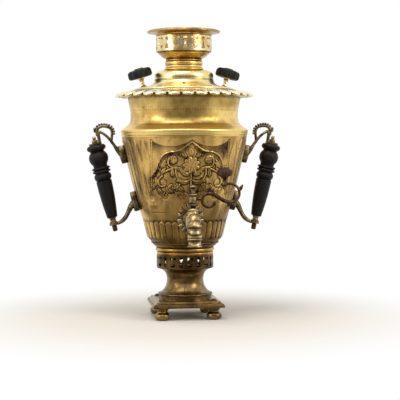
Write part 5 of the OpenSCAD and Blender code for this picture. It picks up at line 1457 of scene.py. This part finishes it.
scroll_at_x, scroll_at_z, loop_x, loop_z = 21.25, 24.3, 50, 33.8
low_z = loop_z - 12.2
KNOB_OUT, KNOB_UP = 42.5, 55.7
c_scroll = arc(scroll_at_x, scroll_at_z, 9, 90, 330, 30)
limb = (bez((scroll_at_x, scroll_at_z + 9), (scroll_at_x + 11, scroll_at_z + 9), (loop_x - 12, low_z),
            (loop_x, low_z), 22)
        + arc(loop_x, loop_z, 12.2, -80, 118, 24))
bm = bmesh.new()
bar(bm, [(5.3, 26.3), (8, 26.4), (10.5, 26.3), (12.8, 26)], lambda t: 2.5 - 0.4 * math.sin(math.pi * t), 1.1)
bar(bm, c_scroll, lambda t: 2.5 - 0.7 * t, 1.25)
bar(bm, limb, lambda t: 2.5 - 0.5 * t + 0.35 * math.sin(2 * math.pi * t), 1.25)
bmesh.ops.create_uvsphere(bm, u_segments=20, v_segments=14, radius=2.6,
                          matrix=Matrix.Translation((c_scroll[-1][0] - 0.4, 0, c_scroll[-1][1] + 0.4)))
top = (scroll_at_x, scroll_at_z + 9)
for base, tip, wide, thick in (((top[0] + 0.5, top[1] - 1), (top[0] - 1, top[1] + 14), 7, 3.4),
                               ((top[0] + 1, top[1]), (top[0] + 7.5, top[1] + 6.5), 5, 3),
                               ((top[0] - 1, top[1]), (top[0] - 6, top[1] + 4), 4, 2.6),
                               ((loop_x + 10.5, loop_z + 2), (loop_x + 17, loop_z + 11.5), 5, 3),
                               ((loop_x + 0.5, low_z + 0.5), (loop_x - 4, low_z - 6.5), 4.6, 3)):
    leaf_blade(bm, base, tip, wide, thick)
knob_stem = ([(0, 42), (1.6, 42.3), (2.5, 43)] + bez((2.6, 43.2), (4.3, 45.4), (2, 48.4), (2.4, 50.8), 12)
             + arc(2.5, 51.6, 0.8, -60, 80, 5) + bez((2.4, 52.6), (3, 53.4), (5, 53.6), (5.2, 54.2), 5)
             + [(5.2, 55.5), (5, 55.7), (1.6, 55.7), (1.6, 66.7), (0, 66.7)])
turn(bm, knob_stem, 40, Matrix.Translation((KNOB_OUT, 0, 0)))
piece("cast_key_branch", bm, brown_cast_bronze, "key", "key_branch", TAP, crease=48,
      hollow=lambda co: 0.8 * band(co.z, 52.6, 0.7) if abs(co.x - KNOB_OUT) < 4 else 0)

# %% Key knob and its screw
KEY_KNOB_R, KEY_KNOB_T = 10.4, 12
edge = ([(1.7, 0), (6.2, 0)] + bez((6.2, 0), (8.4, 0.1), (10.2, 1.6), (KEY_KNOB_R, 4.6), 8)
        + bez((KEY_KNOB_R, 4.6), (10.5, 7.4), (9.6, 9), (7.4, 9.7), 8)[1:]
        + [(6.8, 9.9), (6.5, 10.5), (6.3, 11.4), (5.6, 12), (1.7, 12)])
bm = turned(edge, 8 * 18)
for v in bm.verts:
    radius = v.co.xy.length
    if radius > 6.6:
        off = math.radians(round_from_front(v.co) % 45 - 22.5) * KEY_KNOB_R
        v.co.xy *= 1 - max(0, 1 - (off / 2.2) ** 2) ** 0.8 * 0.9 * (radius - 6.6) / 3.8 / radius
piece("fluted_key_knob", bm, brown_stained_birch, "key", "key_knob",
      TAP @ Matrix.Translation((KNOB_OUT, 0, KNOB_UP)), hollow=lambda co: band(co.z, 10, 0.6))
head = turned([(0, 0), (3.4, 0), (3.6, 0.3), (3.6, 0.9)]
              + bez((3.5, 1.1), (3, 1.9), (2, 2.6), (0, 2.6), 10)[1:], 40)
slit = bmesh.new()
bmesh.ops.create_cube(slit, size=1, matrix=Matrix.Rotation(0.7, 4, "Z") @ Matrix.Translation((0, 0, 2.9))
                      @ Matrix.Diagonal((0.9, 9, 2, 1)))
piece("slotted_knob_screw", cut_away(head, slit), worn_cast_brass, "key", "key_knob_screw",
      TAP @ Matrix.Translation((KNOB_OUT, 0, KNOB_UP + KEY_KNOB_T)),
      hollow=lambda co: 0.8 * (1.2 < co.z < 2.2))
